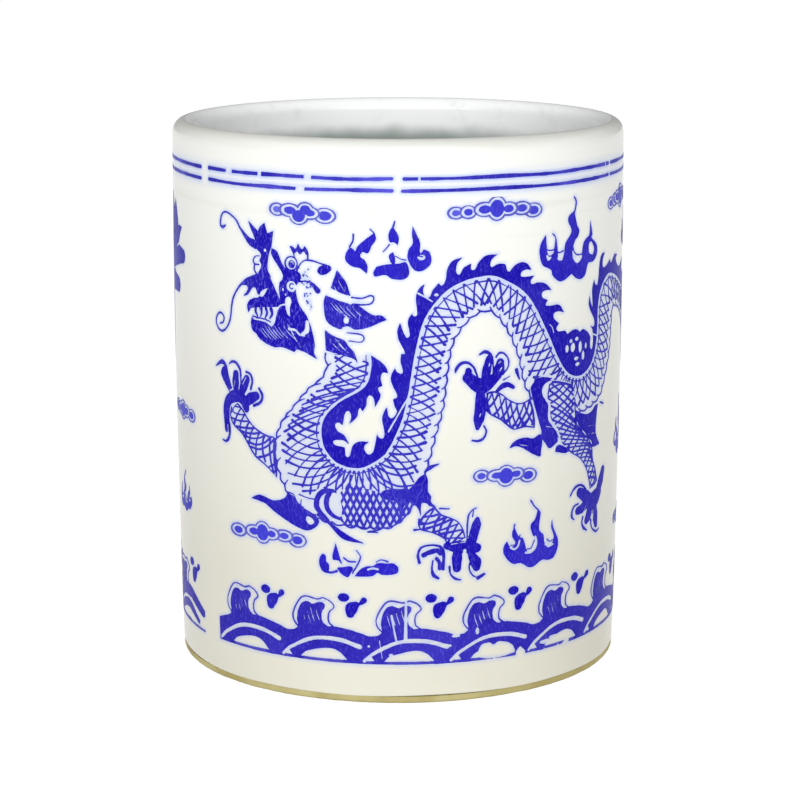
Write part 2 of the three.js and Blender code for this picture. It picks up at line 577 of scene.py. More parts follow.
def flow(points: Path, closed: bool = False, spacing: float = 0.35) -> np.ndarray:
    """A smooth line through points.

    Args:
        points: the points that the line passes through.
        closed: whether it closes on itself.
        spacing: the distance between the points of the result.

    Returns:
        Points along the line, with the share of the way between the given points as a third column.
    """
    points = path(points)
    spots = np.array([p[:2] for p in points], float)
    corner = [len(p) > 2 for p in points]
    count = len(spots)
    spans = count if closed else count - 1
    found = []
    for i in range(spans):
        a, b = spots[i], spots[(i + 1) % count]
        reach = float(np.linalg.norm(b - a)) + 1e-9
        straight = (b - a) / reach
        lead, trail = straight, straight
        if not corner[i] and (closed or i > 0):
            lead = b - spots[i - 1]
            lead = lead / (np.linalg.norm(lead) + 1e-9)
        if not corner[(i + 1) % count] and (closed or i < count - 2):
            trail = spots[(i + 2) % count] - a
            trail = trail / (np.linalg.norm(trail) + 1e-9)
        steps = max(1, math.ceil(reach / spacing))
        t = (np.arange(steps) / steps)[:, None]
        ease = 3 * t**2 - 2 * t**3
        curve = a + ease * (b - a) + reach * ((t**3 - 2 * t**2 + t) * lead + (t**3 - t**2) * trail)
        found.append(np.hstack([curve, i + t]))
    if not closed:
        found.append(np.array([[*spots[-1], count - 1.0]]))
    return np.vstack(found)


def moved(points: Path, du: float, dv: float, scale: float = 1.0, mirror: bool = False) -> list[Point]:
    """Moves, scales and mirrors drawing points about their own origin, keeping corners."""
    sign = -scale if mirror else scale
    return [(du + sign * p[0], dv + scale * p[1], *p[2:]) for p in path(points)]


class Sheet:
    """A flat drawing of ink, as signed distances in millimetres on a fine grid. Ink is negative."""

    STEP = 0.125
    REACH = 1.1
    FAR = 9.0

    def __init__(self, low: Point, high: Point) -> None:
        """Starts a blank sheet between two corners."""
        self.low = low
        columns = int(round((high[0] - low[0]) / self.STEP)) + 1
        rows = int(round((high[1] - low[1]) / self.STEP)) + 1
        self.u = low[0] + self.STEP * np.arange(columns)
        self.v = low[1] + self.STEP * np.arange(rows)
        self.ink = np.full((rows, columns), self.FAR, np.float32)

    def blank(self) -> "Sheet":
        """Another blank sheet of the same size."""
        return Sheet(self.low, (float(self.u[-1]), float(self.v[-1])))

    def _window(self, low: np.ndarray, high: np.ndarray, pad: float) -> tuple[slice, slice]:
        """The rows and columns round a box, with a margin."""
        rows, columns = self.ink.shape
        i0 = max(0, int((low[1] - pad - self.low[1]) / self.STEP))
        i1 = min(rows, int((high[1] + pad - self.low[1]) / self.STEP) + 2)
        j0 = max(0, int((low[0] - pad - self.low[0]) / self.STEP))
        j1 = min(columns, int((high[0] + pad - self.low[0]) / self.STEP) + 2)
        return slice(i0, max(i0, i1)), slice(j0, max(j0, j1))

    def _brush(self, target: np.ndarray, line: np.ndarray, half: np.ndarray) -> None:
        """Lowers the target to the distance from a line whose half width changes along it."""
        for a, b, ra, rb in zip(line[:-1], line[1:], half[:-1], half[1:]):
            wide = max(ra, rb)
            rows, columns = self._window(np.minimum(a, b), np.maximum(a, b), self.REACH + wide)
            part = target[rows, columns]
            if part.size == 0:
                continue
            u = self.u[columns][None, :] - a[0]
            v = self.v[rows][:, None] - a[1]
            along = b - a
            length = float(along @ along) + 1e-12
            t = np.clip((u * along[0] + v * along[1]) / length, 0, 1)
            away = np.hypot(u - t * along[0], v - t * along[1]) - (ra + (rb - ra) * t)
            np.minimum(part, away, out=part)

    def _apply(self, drawn: np.ndarray, rows: slice, columns: slice, cut: bool) -> None:
        """Adds a drawn patch to the ink, or takes it away."""
        part = self.ink[rows, columns]
        if cut:
            np.maximum(part, -drawn, out=part)
        else:
            np.minimum(part, drawn, out=part)

    def stroke(self, points: Path, widths: Any, cut: bool = False) -> None:
        """Draws a brush stroke.

        Args:
            points: the points that its middle passes through.
            widths: its width, or a width at each point.
            cut: takes ink away instead.
        """
        line = flow(points)
        knots = np.atleast_1d(np.array(widths, float))
        half = np.interp(line[:, 2], np.linspace(0, line[-1, 2], len(knots)), knots) / 2
        spots = line[:, :2]
        wide = float(half.max()) + self.REACH
        rows, columns = self._window(spots.min(0), spots.max(0), wide)
        if cut:
            drawn = np.full(self.ink.shape, self.FAR, np.float32)
            self._brush(drawn, spots, half)
            self._apply(drawn[rows, columns], rows, columns, True)
        else:
            self._brush(self.ink, spots, half)

    def fill(self, points: Path, cut: bool = False) -> None:
        """Fills a closed outline, or takes its inside away."""
        line = flow(points, closed=True)[:, :2]
        ring = np.vstack([line, line[:1]])
        rows, columns = self._window(line.min(0), line.max(0), self.REACH)
        drawn = np.full(self.ink.shape, self.REACH, np.float32)
        self._brush(drawn, ring, np.zeros(len(ring)))
        drawn = drawn[rows, columns]
        inside = np.zeros(drawn.shape, bool)
        u, v = self.u[columns], self.v[rows]
        for a, b in zip(ring[:-1], ring[1:]):
            bottom, top = min(a[1], b[1]), max(a[1], b[1])
            hit = np.nonzero((v > bottom) & (v <= top))[0]
            if len(hit):
                cross = a[0] + (v[hit] - a[1]) / (b[1] - a[1]) * (b[0] - a[0])
                inside[hit] ^= u[None, :] > cross[:, None]
        self._apply(np.where(inside, -drawn, drawn), rows, columns, cut)

    def dot(self, u: float, v: float, across: float, up: float | None = None, cut: bool = False) -> None:
        """Fills an oval with the given half sizes."""
        up = across if up is None else up
        low, high = np.array([u - across, v - up]), np.array([u + across, v + up])
        rows, columns = self._window(low, high, self.REACH)
        x = (self.u[columns][None, :] - u) / across
        y = (self.v[rows][:, None] - v) / up
        drawn = (np.hypot(x, y) - 1) * min(across, up)
        self._apply(drawn.astype(np.float32), rows, columns, cut)

    def strokes(self, table: str, cut: bool = False) -> None:
        """Draws a table of brush strokes, or takes them away."""
        for line, widths in marks(table):
            self.stroke(line, widths, cut)

    def block(self, left: float, low: float, right: float, top: float, cut: bool = False) -> None:
        """Fills an oblong, or takes its inside away."""
        self.fill([(left, low, 1), (left, top, 1), (right, top, 1), (right, low, 1)], cut)

    def dots(self, table: str, cut: bool = False) -> None:
        """Fills ovals written as "u,v,across,up", or takes them away."""
        for u, v, across, up in path(table):
            self.dot(u, v, across, up, cut)

    def hatch(self, first: Point, last: Point, way: Point, count: int, width: float = 0.13) -> None:
        """Scratches pale bowed streaks, all one way, from spots in a row between two ends."""
        draw = np.random.default_rng(count)
        for u, v in np.linspace(first, last, count) + draw.uniform(-0.3, 0.3, (count, 2)):
            bend = (u + 0.45 * way[0], v + 0.55 * way[1])
            self.stroke([(u, v), bend, (u + way[0], v + way[1])], [0.05, width, 0.05], cut=True)

    def ring(self, u: float, v: float, radius: float, width: float) -> None:
        """Draws a ring."""
        turns = [i * math.pi / 4 for i in range(9)]
        self.stroke([(u + radius * math.cos(a), v + radius * math.sin(a)) for a in turns], width)

    def join(self, other: "Sheet") -> "Sheet":
        """Adds another sheet's ink."""
        np.minimum(self.ink, other.ink, out=self.ink)
        return self

    def minus(self, other: "Sheet", grow: float = 0.0) -> "Sheet":
        """Takes away another sheet's ink, grown by a margin."""
        np.maximum(self.ink, grow - other.ink, out=self.ink)
        return self

    def within(self, other: "Sheet", inset: float = 0.0) -> "Sheet":
        """Keeps only what lies inside another sheet's ink."""
        np.maximum(self.ink, other.ink + inset, out=self.ink)
        return self

    def roughen(self, seed: int, fine: float = 0.035, broad: float = 0.05) -> "Sheet":
        """Roughens the edges like a pulled print."""
        near = np.abs(self.ink) < self.REACH
        rough = fine * value_noise(self.ink.shape, 3.0, seed)
        rough += broad * value_noise(self.ink.shape, 17.0, seed + 1)
        self.ink[near] += rough[near].astype(np.float32)
        return self

    def sample(self, grid: np.ndarray, u: np.ndarray, v: np.ndarray) -> np.ndarray:
        """Reads a grid of this sheet's size at some spots."""
        rows, columns = self.ink.shape
        x = np.clip((u - self.low[0]) / self.STEP, 0, columns - 1.001)
        y = np.clip((v - self.low[1]) / self.STEP, 0, rows - 1.001)
        j, i = x.astype(int), y.astype(int)
        fx, fy = x - j, y - i
        below = grid[i, j] * (1 - fx) + grid[i, j + 1] * fx
        above = grid[i + 1, j] * (1 - fx) + grid[i + 1, j + 1] * fx
        return below * (1 - fy) + above * fy

    def load(self) -> np.ndarray:
        """How heavily inked each cell's neighbourhood is: the deepest ink within half a millimetre."""
        deep = self.ink.copy()
        for axis in (0, 1):
            for step in (1, 2, 4):
                ahead = np.roll(deep, step, axis)
                behind = np.roll(deep, -step, axis)
                deep = np.minimum(deep, np.minimum(ahead, behind))
        return np.clip(-deep, 0, 1)


class Tracer:
    """Traces a sheet's ink into a thin solid wrapped round the wall."""

    TOLERANCE = 0.014
    SMALLEST = 0.035
    CUT_EVERY = 2.0
    THICKNESS = 0.06
    EDGES = {
        1: ((3, 0),), 2: ((0, 1),), 3: ((3, 1),), 4: ((1, 2),), 5: ((3, 0), (1, 2)),
        6: ((0, 2),), 7: ((3, 2),), 8: ((2, 3),), 9: ((2, 0),), 10: ((0, 1), (2, 3)),
        11: ((2, 1),), 12: ((1, 3),), 13: ((1, 0),), 14: ((0, 3),),
    }

    def __init__(self, sheet: Sheet, form: PotForm) -> None:
        """Traces the sheet."""
        self.sheet = sheet
        self.form = form
        self.flat, self.triangles = self._triangulate(self._loops())
        self.load = sheet.sample(sheet.load(), self.flat[:, 0], self.flat[:, 1])

    def _loops(self) -> list[np.ndarray]:
        """The closed outlines of the ink, thinned to the points that their shape needs."""
        ink = self.sheet.ink
        ink[0, :] = ink[-1, :] = 1.0
        ink[:, 0] = ink[:, -1] = 1.0
        inside = ink < 0
        flat_cross = inside[:, :-1] != inside[:, 1:]
        up_cross = inside[:-1, :] != inside[1:, :]
        i, j = np.nonzero(flat_cross)
        share = np.clip(ink[i, j] / (ink[i, j] - ink[i, j + 1]), 0.04, 0.96)
        spots = [np.stack([j + share, i.astype(float)], 1)]
        flat_id = np.full(flat_cross.shape, -1)
        flat_id[i, j] = np.arange(len(i))
        start = len(i)
        i, j = np.nonzero(up_cross)
        share = np.clip(ink[i, j] / (ink[i, j] - ink[i + 1, j]), 0.04, 0.96)
        spots.append(np.stack([j.astype(float), i + share], 1))
        up_id = np.full(up_cross.shape, -1)
        up_id[i, j] = start + np.arange(len(i))
        spots = np.vstack(spots) * self.sheet.STEP + np.array(self.sheet.low)
        sides = (flat_id[:-1, :], up_id[:, 1:], flat_id[1:, :], up_id[:, :-1])
        code = (inside[:-1, :-1] * 1 + inside[:-1, 1:] * 2 + inside[1:, 1:] * 4 + inside[1:, :-1] * 8)
        pairs = []
        for number, edges in self.EDGES.items():
            here = code == number
            for a, b in edges:
                pairs.append(np.stack([sides[a][here], sides[b][here]], 1))
        pairs = np.vstack(pairs)
        both = np.vstack([pairs, pairs[:, ::-1]])
        order = np.argsort(both[:, 0], kind="stable")
        links = both[order][:, 1].reshape(-1, 2).tolist()
        seen = [False] * len(links)
        loops = []
        for begin in range(len(links)):
            if seen[begin]:
                continue
            loop, last, now = [], -1, begin
            while not seen[now]:
                seen[now] = True
                loop.append(now)
                ahead = links[now][0] if links[now][0] != last else links[now][1]
                last, now = now, ahead
            thinned = self._thin(spots[loop])
            if len(thinned) > 2 and self._area(thinned) > self.SMALLEST:
                loops.append(thinned)
        return loops

    def _thin(self, loop: np.ndarray) -> np.ndarray:
        """Drops points that lie nearly on the line between their neighbours."""
        kept = [loop[0]]
        held: list[np.ndarray] = []
        for k in range(1, len(loop)):
            held.append(loop[k])
            ahead = loop[(k + 1) % len(loop)]
            chord = ahead - kept[-1]
            length = math.hypot(chord[0], chord[1])
            inner = np.array(held) - kept[-1]
            off = np.abs(inner[:, 0] * chord[1] - inner[:, 1] * chord[0]) / (length + 1e-9)
            if off.max() > self.TOLERANCE or length > 1.2:
                kept.append(loop[k])
                held = []
        return np.array(kept)

    @staticmethod
    def _area(loop: np.ndarray) -> float:
        """The area that a loop encloses."""
        after = np.roll(loop, -1, 0)
        return abs(float(np.sum(loop[:, 0] * after[:, 1] - after[:, 0] * loop[:, 1]))) / 2

    def _triangulate(self, loops: list[np.ndarray]) -> tuple[np.ndarray, np.ndarray]:
        """Fills the loops with triangles, cut often enough to follow the wall's curve."""
        corners: list[Vector] = []
        edges: list[tuple[int, int]] = []
        for loop in loops:
            first = len(corners)
            corners.extend(Vector((float(x), float(y))) for x, y in loop)
            count = len(loop)
            edges.extend((first + k, first + (k + 1) % count) for k in range(count))
        every = np.vstack(loops)
        low, high = every.min(0), every.max(0)
        for u in np.arange(low[0] + 0.37, high[0], self.CUT_EVERY):
            corners.extend([Vector((float(u), float(low[1]) - 1)), Vector((float(u), float(high[1]) + 1))])
            edges.append((len(corners) - 2, len(corners) - 1))
        made = delaunay_2d_cdt(corners, edges, [], 0, 1e-6, False)
        flat = np.array([tuple(p) for p in made[0]])
        triangles = np.array([f for f in made[2] if len(f) == 3])
        middle = flat[triangles].mean(1)
        triangles = triangles[self.sheet.sample(self.sheet.ink, middle[:, 0], middle[:, 1]) < 0]
        a, b, c = flat[triangles[:, 0]], flat[triangles[:, 1]], flat[triangles[:, 2]]
        turn = (b[:, 0] - a[:, 0]) * (c[:, 1] - a[:, 1]) - (b[:, 1] - a[:, 1]) * (c[:, 0] - a[:, 0])
        triangles = triangles[np.abs(turn) > 1e-9]
        turn = turn[np.abs(turn) > 1e-9]
        triangles[turn < 0] = triangles[turn < 0][:, ::-1]
        used, renumbered = np.unique(triangles, return_inverse=True)
        return flat[used], renumbered.reshape(-1, 3)

    def piece(
        self, name: str, turn: float, material: bpy.types.Material, replaces: Sequence[str]
    ) -> bpy.types.Object:
        """Wraps the traced ink round the wall as a thin closed solid.

        Args:
            name: the piece's name.
            turn: a turn round the pot in degrees.
            material: its ink.
            replaces: CAD nodes that it stands for.

        Returns:
            The new object.
        """
        u, v = self.flat[:, 0], self.flat[:, 1]
        top = self.form.wrap(u, v, self.form.ink_proud, turn)
        back = self.form.wrap(u, v, self.form.ink_proud - self.THICKNESS, turn)
        count = len(self.flat)
        tri = self.triangles
        ways = np.vstack([tri[:, [0, 1]], tri[:, [1, 2]], tri[:, [2, 0]]])
        key, other = ways[:, 0] * count + ways[:, 1], ways[:, 1] * count + ways[:, 0]
        rim = ways[~np.isin(key, other)]
        walls = np.stack([rim[:, 0], rim[:, 0] + count, rim[:, 1] + count, rim[:, 1]], 1)
        faces = tri.tolist() + (tri[:, ::-1] + count).tolist() + walls.tolist()
        made = make_piece(name, np.vstack([top, back]), faces, material, replaces)
        made.data.shade_smooth()
        outward = top.copy()
        outward[:, 2] = 0
        outward /= np.linalg.norm(outward, axis=1)[:, None]
        made.data.normals_split_custom_set_from_vertices(np.vstack([outward, -outward]).tolist())
        store(made, "ink_load", np.concatenate([self.load, self.load]))
        return made


# The dragon.
@dataclass
class ScaledStrip:
    """A scaled limb or body between two lines, given as ribs of (back, belly) points."""

    ribs: Path
    pitch: float
    lean: float
    scales_to: float = 0.8
    line: float = 0.3

    def __post_init__(self) -> None:
        """Works out both edges and the length along the middle."""
        ribs = path(self.ribs)
        back = flow([r[:2] for r in ribs])
        self.back, stations = back[:, :2], back[:, 2]
        belly = flow([r[2:4] for r in ribs])
        self.belly = np.stack(
            [np.interp(stations, belly[:, 2], belly[:, axis]) for axis in (0, 1)], axis=1
        )
        middle = (self.back + self.belly) / 2
        steps = np.linalg.norm(np.diff(middle, axis=0), axis=1)
        self.along = np.concatenate([[0], np.cumsum(steps)])

    def at(self, length: float, share: float) -> tuple[float, float]:
        """The spot at a length along the strip and a share of the way from back to belly."""
        spot = []
        for axis in (0, 1):
            near = np.interp(length, self.along, self.back[:, axis])
            far = np.interp(length, self.along, self.belly[:, axis])
            spot.append(float(near + (far - near) * share))
        return spot[0], spot[1]

    def outline(self) -> list[tuple[float, float]]:
        """The whole strip as a closed outline."""
        edge = np.vstack([self.back[::4], self.belly[::-4]])
        return [(float(u), float(v)) for u, v in edge]

    def lattice(self, sheet: Sheet, seed: int) -> None:
        """Draws the two crossing families of scale lines."""
        draw = np.random.default_rng(seed)
        total = float(self.along[-1])
        for way in (1, -1):
            for length in np.arange(-6, total + 6, self.pitch):
                start = length + draw.uniform(-0.12, 0.12) * self.pitch
                end = self.scales_to + draw.uniform(-0.09, 0.04)
                shares = (0, end * 0.33, end * 0.7, end)
                lean = self.lean * math.dist(self.at(length, 0), self.at(length, 1))
                bow = 0.1 * lean
                leans = (0, 0.33 * lean - bow, 0.7 * lean - bow, lean)
                spots = [self.at(start + way * s, t) for s, t in zip(leans, shares)]
                wide = self.line * draw.uniform(0.8, 1.35)
                sheet.stroke(spots, [wide, wide, wide, wide * draw.uniform(0.9, 1.9)])


@dataclass
class DragonBody:
    """The long scaled body: neck, coil, two arches and the tail, with belly plates."""

    ribs: Path = """-6,75.5,-15.4,75.6 -5.95,73,-14.9,72.6 -6.6,70.1,-16.4,69.9 -8,68.5,-18.7,68.1
        -12.9,65.4,-22.8,63.4 -16.3,61.3,-25.6,59.8 -16.3,55.9,-27.3,54.2 -13.7,52.4,-25.2,46.6
        -12.3,51.7,-21.8,42.8 -11,51.2,-17,40 -8,51.1,-6.5,38.6 -6.4,51.6,-1.5,39 -5.2,52.2,2.4,42.5
        -4,53,4.6,46.6 -2.2,54.6,5.8,51 0.8,60.8,8,59.4 2,65,9.3,64.4 4.6,79,11.1,77.2 7,85,13.7,81.6
        12,89.6,16.4,83.8 18.5,91.2,19.2,84.4 22,90.5,20.7,83.6 28,86.7,23.6,80.1 32.6,80,26.3,74.6
        37.6,71.3,28.8,66.6 40.6,68.3,35,60.5 44.5,67.2,45.5,59.8 48,68.4,53,61.8 50.4,71,56,66
        51.6,74.6,58.4,71.4 52.3,83,59.7,79.6 54.3,86.2,60.2,80.4 57.6,87.7,61,80.6 65,85.4,65.6,79.4
        73,81,70.6,75.6 74.9,77,72.8,72.4 76.3,72.8,74.2,68.6 77.7,70,76.2,65.4 79.3,69.4,79,64.4
        80.7,71.2,81.7,66.8 81.4,75,83.2,71.6 82.3,82.4,84.3,80.8 83.5,85.4,85,83.6"""
    white_line: float = 0.85
    plate_pitch: float = 2.5

    def __post_init__(self) -> None:
        """Lays out the strip."""
        self.strip = ScaledStrip(self.ribs, pitch=2, lean=0.36, scales_to=0.8, line=0.34)

    def area(self, blank: Sheet) -> Sheet:
        """The whole body as a filled shape."""
        blank.fill(self.strip.outline())
        return blank

    def reserve(self, sheet: Sheet) -> None:
        """Leaves the white line along the back clear."""
        sheet.stroke([tuple(p) for p in self.strip.back[::4]], self.white_line, cut=True)

    def draw(self, sheet: Sheet) -> None:
        """Draws scales, the line inside the back, and the belly plates."""
        self.strip.lattice(sheet, seed=11)
        body = self.area(sheet.blank())
        body.fill("-16,76.4 -13,76.4 -10.6,75.2 -8.6,73.4 -7.4,74.4 -5,76.6 -5,78 -16,78", cut=True)
        sheet.within(body, 0.1)
        inner = 0.66
        total = float(self.strip.along[-1])
        stations = np.arange(0, total, 1.6)
        spots = []
        for length in stations:
            near, far = self.strip.at(length, 0), self.strip.at(length, 1)
            spots.append(self.strip.at(length, inner / math.dist(near, far)))
        sheet.stroke(spots, 0.26)
        self._plates(sheet)
        self._hips(sheet)
        self._haunch(sheet)

    def _plates(self, sheet: Sheet) -> None:
        """Draws the scalloped belly edge and a short line behind each plate."""
        lengths, last = [0], self.strip.at(0, 1)
        for length in np.arange(0.2, float(self.strip.along[-1]), 0.2):
            spot = self.strip.at(length, 1)
            if math.dist(spot, last) > self.plate_pitch:
                lengths.append(float(length))
                last = spot
        for number, (start, end) in enumerate(zip(lengths[:-1], lengths[1:])):
            middle = (start + end) / 2
            swell = 1.0 + 0.28 / max(1, math.dist(self.strip.at(middle, 0), self.strip.at(middle, 1)))
            edge = [self.strip.at(start, 0.985), self.strip.at(middle, swell), self.strip.at(end, 0.985)]
            sheet.stroke(edge, 0.35)
            if number % 2 == 0 or start > 60:
                tick = [self.strip.at(end, 0.985), self.strip.at(end - 0.5, 0.9)]
                sheet.stroke(tick, [0.34, 0.2])

    def _hips(self, sheet: Sheet) -> None:
        """Draws the close, steep net over the hips, down to their edge."""
        hips = path("""-12.6,45.6 -10,47.6 -6,47 -2.5,46 0.6,45.2 3.2,44.4 1.6,41.4 -1.4,39.1 -6.4,38.7
            -11.3,39.2 -13,41.6""")
        sheet.fill(hips, cut=True)
        net = sheet.blank()
        draw = np.random.default_rng(17)
        for step in range(16):
            u = -15.0 + 1.4 * step
            for lean in (2.4, -2.4):
                sway = draw.uniform(-0.25, 0.25)
                net.stroke([(u - lean + sway, 48.6), (u, 43.6), (u + lean - sway, 38.6)], 0.55)
        area = sheet.blank()
        area.fill(hips)
        sheet.join(net.within(area, 0.05))
        sheet.stroke(hips[5:10], 0.3)

    def _haunch(self, sheet: Sheet) -> None:
        """Draws the dark joints where the legs leave the coil."""
        sheet.fill("-17.6,46.2 -14.2,46.4 -12.2,44 -12.4,40.6 -16,40.2 -18,42.6", cut=True)
        sheet.stroke("-13.9,46.3 -15.9,46.1 -17.3,44.6 -17.4,42.4 -14.9,39.9", [0.9, 1.1, 1.2, 1.2, 0.5])
        sheet.stroke("-14.6,46 -15.3,44.2 -15.1,42.4 -13.9,41 -12.2,40.3", [1.1, 1.1, 0.6])
        sheet.stroke("-13.9,45.6 -14.2,43.6 -13.3,41.9 -11.6,40.9", 0.5, cut=True)
        sheet.stroke("-24.4,45.1 -23,44.8 -22,43.1 -20.6,42.1 -19.7,41.1 -17.8,40.8", 0.35)
        sheet.stroke("-21.6,44.9 -19.4,44.3 -17.6,44.2", 0.3)


@dataclass
class DragonFins:
    """The flame-edged fins along the outside of the back, from neck to tail tip."""

    edge: Path = """-6.2,75.9* -3.4,74.1 -2.4,72.9 -2.1,71.8* -3.2,71.9 -3.6,70.6 -3.2,69.1* -4.1,68.6
        -3.6,67 -4.8,64.5* -5,66.2 -5.8,67.1 -6.5,66.3 -6.6,65 -7.4,63.6* -8,64.3 -8.5,62.5 -10.2,60.9*
        -9.8,62.3 -10.2,63.6 -11,63.3 -11.7,60.5* -12.6,61.1 -13.3,60.5 -12.7,59.2 -11.3,58.4 -10.3,56.5*
        -11.6,57.3 -13.7,56.7 -11.2,55.8* -10.6,53.8 -9.6,56.1 -8.4,57.1 -6.1,57.2* -7,56.3 -6.9,55.2
        -6.1,54.5 -5.2,55.2 -4.4,58.8* -3.9,58.1 -3.1,58 -2.8,59 -3.3,62.4 -2.4,64.7* -1.6,62.3 -0.2,63.6
        -0.8,64.9 -1.1,66.3* -0.2,66.9 -1.4,69.8 -1.4,71.4 -0.6,72.9* -0.2,72 0.95,71.8 0.5,74.2 0.6,75.9*
        1.4,76 0.05,79 -0.2,80.7 0.4,82.4* 1.7,79.3 2.4,79.6 2,82.8 2.9,84.4* 3.3,83.7 3.9,84 3.7,88
        4.5,89.7 5.5,90.4* 5.1,89.1 5.4,88 6.4,87.6 7.1,89 8.4,90.6* 9,90 9.8,91 10.2,93.5 11.3,95
        13.4,95.7* 12.2,94.3 12.5,92.1 13.6,93.5 15.2,94.3* 15.3,93.1 16,93 16.9,94.5 18.5,95.8 21.4,96*
        19.8,94.9 19.7,93.4 21,93.9 22.9,93.8 23.3,92.6* 23.9,92.1 25.1,93.3 26.9,93.9 28.5,93.3 29.5,92*
        28.1,92.3 26.9,91.8 26.9,90.9 30.2,90.8* 29.3,89.9 29.5,89.1 31,89.3 33.1,88.9 35.1,87.2*
        33.7,87.4 32.3,87 32.4,86 33.9,85.3* 33.4,84.2 37.2,83.9 38.8,82.1* 37.2,82.5 35.7,82.2 35.8,81.1
        37.3,79.9* 36.5,79 37.2,78.2 39.1,78.1 40,77.3* 41.7,77.9 43.4,77.8 44.2,77.2* 45.7,77.6 48.4,75.6
        48.3,74 48.9,72.7 49.5,73.6 49.4,76.7 48.4,77.9* 49.9,77.6 50,79 47.6,82.5 47.9,84.6* 48.4,82.9
        49.2,82 48.9,85.6 49.7,87.7* 50.4,86.5 51.3,86.6 52.4,91.8 53.5,92.9 54.8,93* 53.8,91.8 53.6,90.4
        54.6,89.7 58,91* 58.6,90.1 61.2,91.7 63.5,91.4* 62.2,90.5 65,88.5 67.4,88.6 70.2,89.8* 69.6,87.4
        71.6,86 73.9,86.6 75.6,85.4* 74.5,84 74.9,82 76.1,80.8 77.7,80.4* 76.6,78.4 77.1,76 77.8,74.2
        78.8,76.6* 78.8,73.6 79.6,73 79.6,79.6* 80.3,77.4 80.8,79.6 80.2,83.4* 81.1,81.6 81.6,84
        81.8,87.4* 82.4,85.4 83.2,87.4 83.5,85.4*"""

    def draw(self, sheet: Sheet, body: DragonBody) -> None:
        """Draws the band of fins, its openwork and its tuft at the tail tip."""
        back = [tuple(float(x) for x in p) for p in body.strip.back[::-4]]
        sheet.fill([*path(self.edge), *back])
        body.reserve(sheet)
        sheet.dots("""39.9,74.1,0.55,0.8 41.9,74.1,0.75,1 44.5,73.9,0.6,1.25 43.1,71.6,0.8,0.45
            45.6,71.9,0.5,1 43.6,70.3,0.8,0.4 41.2,75.6,0.5,0.4 43.2,75.8,0.6,0.4 46.6,73.9,0.4,0.7
            7.9,88.1,0.5,0.35""", cut=True)
        sheet.strokes("""0.42: -2,59.4 0.9,64.6 2.4,67;
        0.38: 4.1,88.5 5.4,87.8 7.1,86.7;
        0.3: 34.5,80 35.3,79.3 35.7,78.2;
        0.35: 47.9,77.4 49.3,76.1 51.2,75.4""", cut=True)
        sheet.strokes("""2.4,6,4.6,0.3: 84,85 85.4,92 86.6,99 86.2,104.4;
        3,7.4,5.6,0.4: 85,86 88.4,92.6 90,98 90.4,103;
        3.4,5.4,2.6,0.3: 86,88 90,93 93.4,96.4 96,97.6;
        4,4.8,3.2: 86,89.4 92,91.2 96.8,91.4;
        2.4,4.2,3.4: 83.4,83.6 88,84.8 92.6,84.6""")
        for slit in ("84.6,87 90,87.9 98,88", "87.6,92 88.2,95 88.4,99", "89.4,91.8 92,93.2 96,94.4"):
            sheet.stroke(slit, [0.2, 0.7], cut=True)


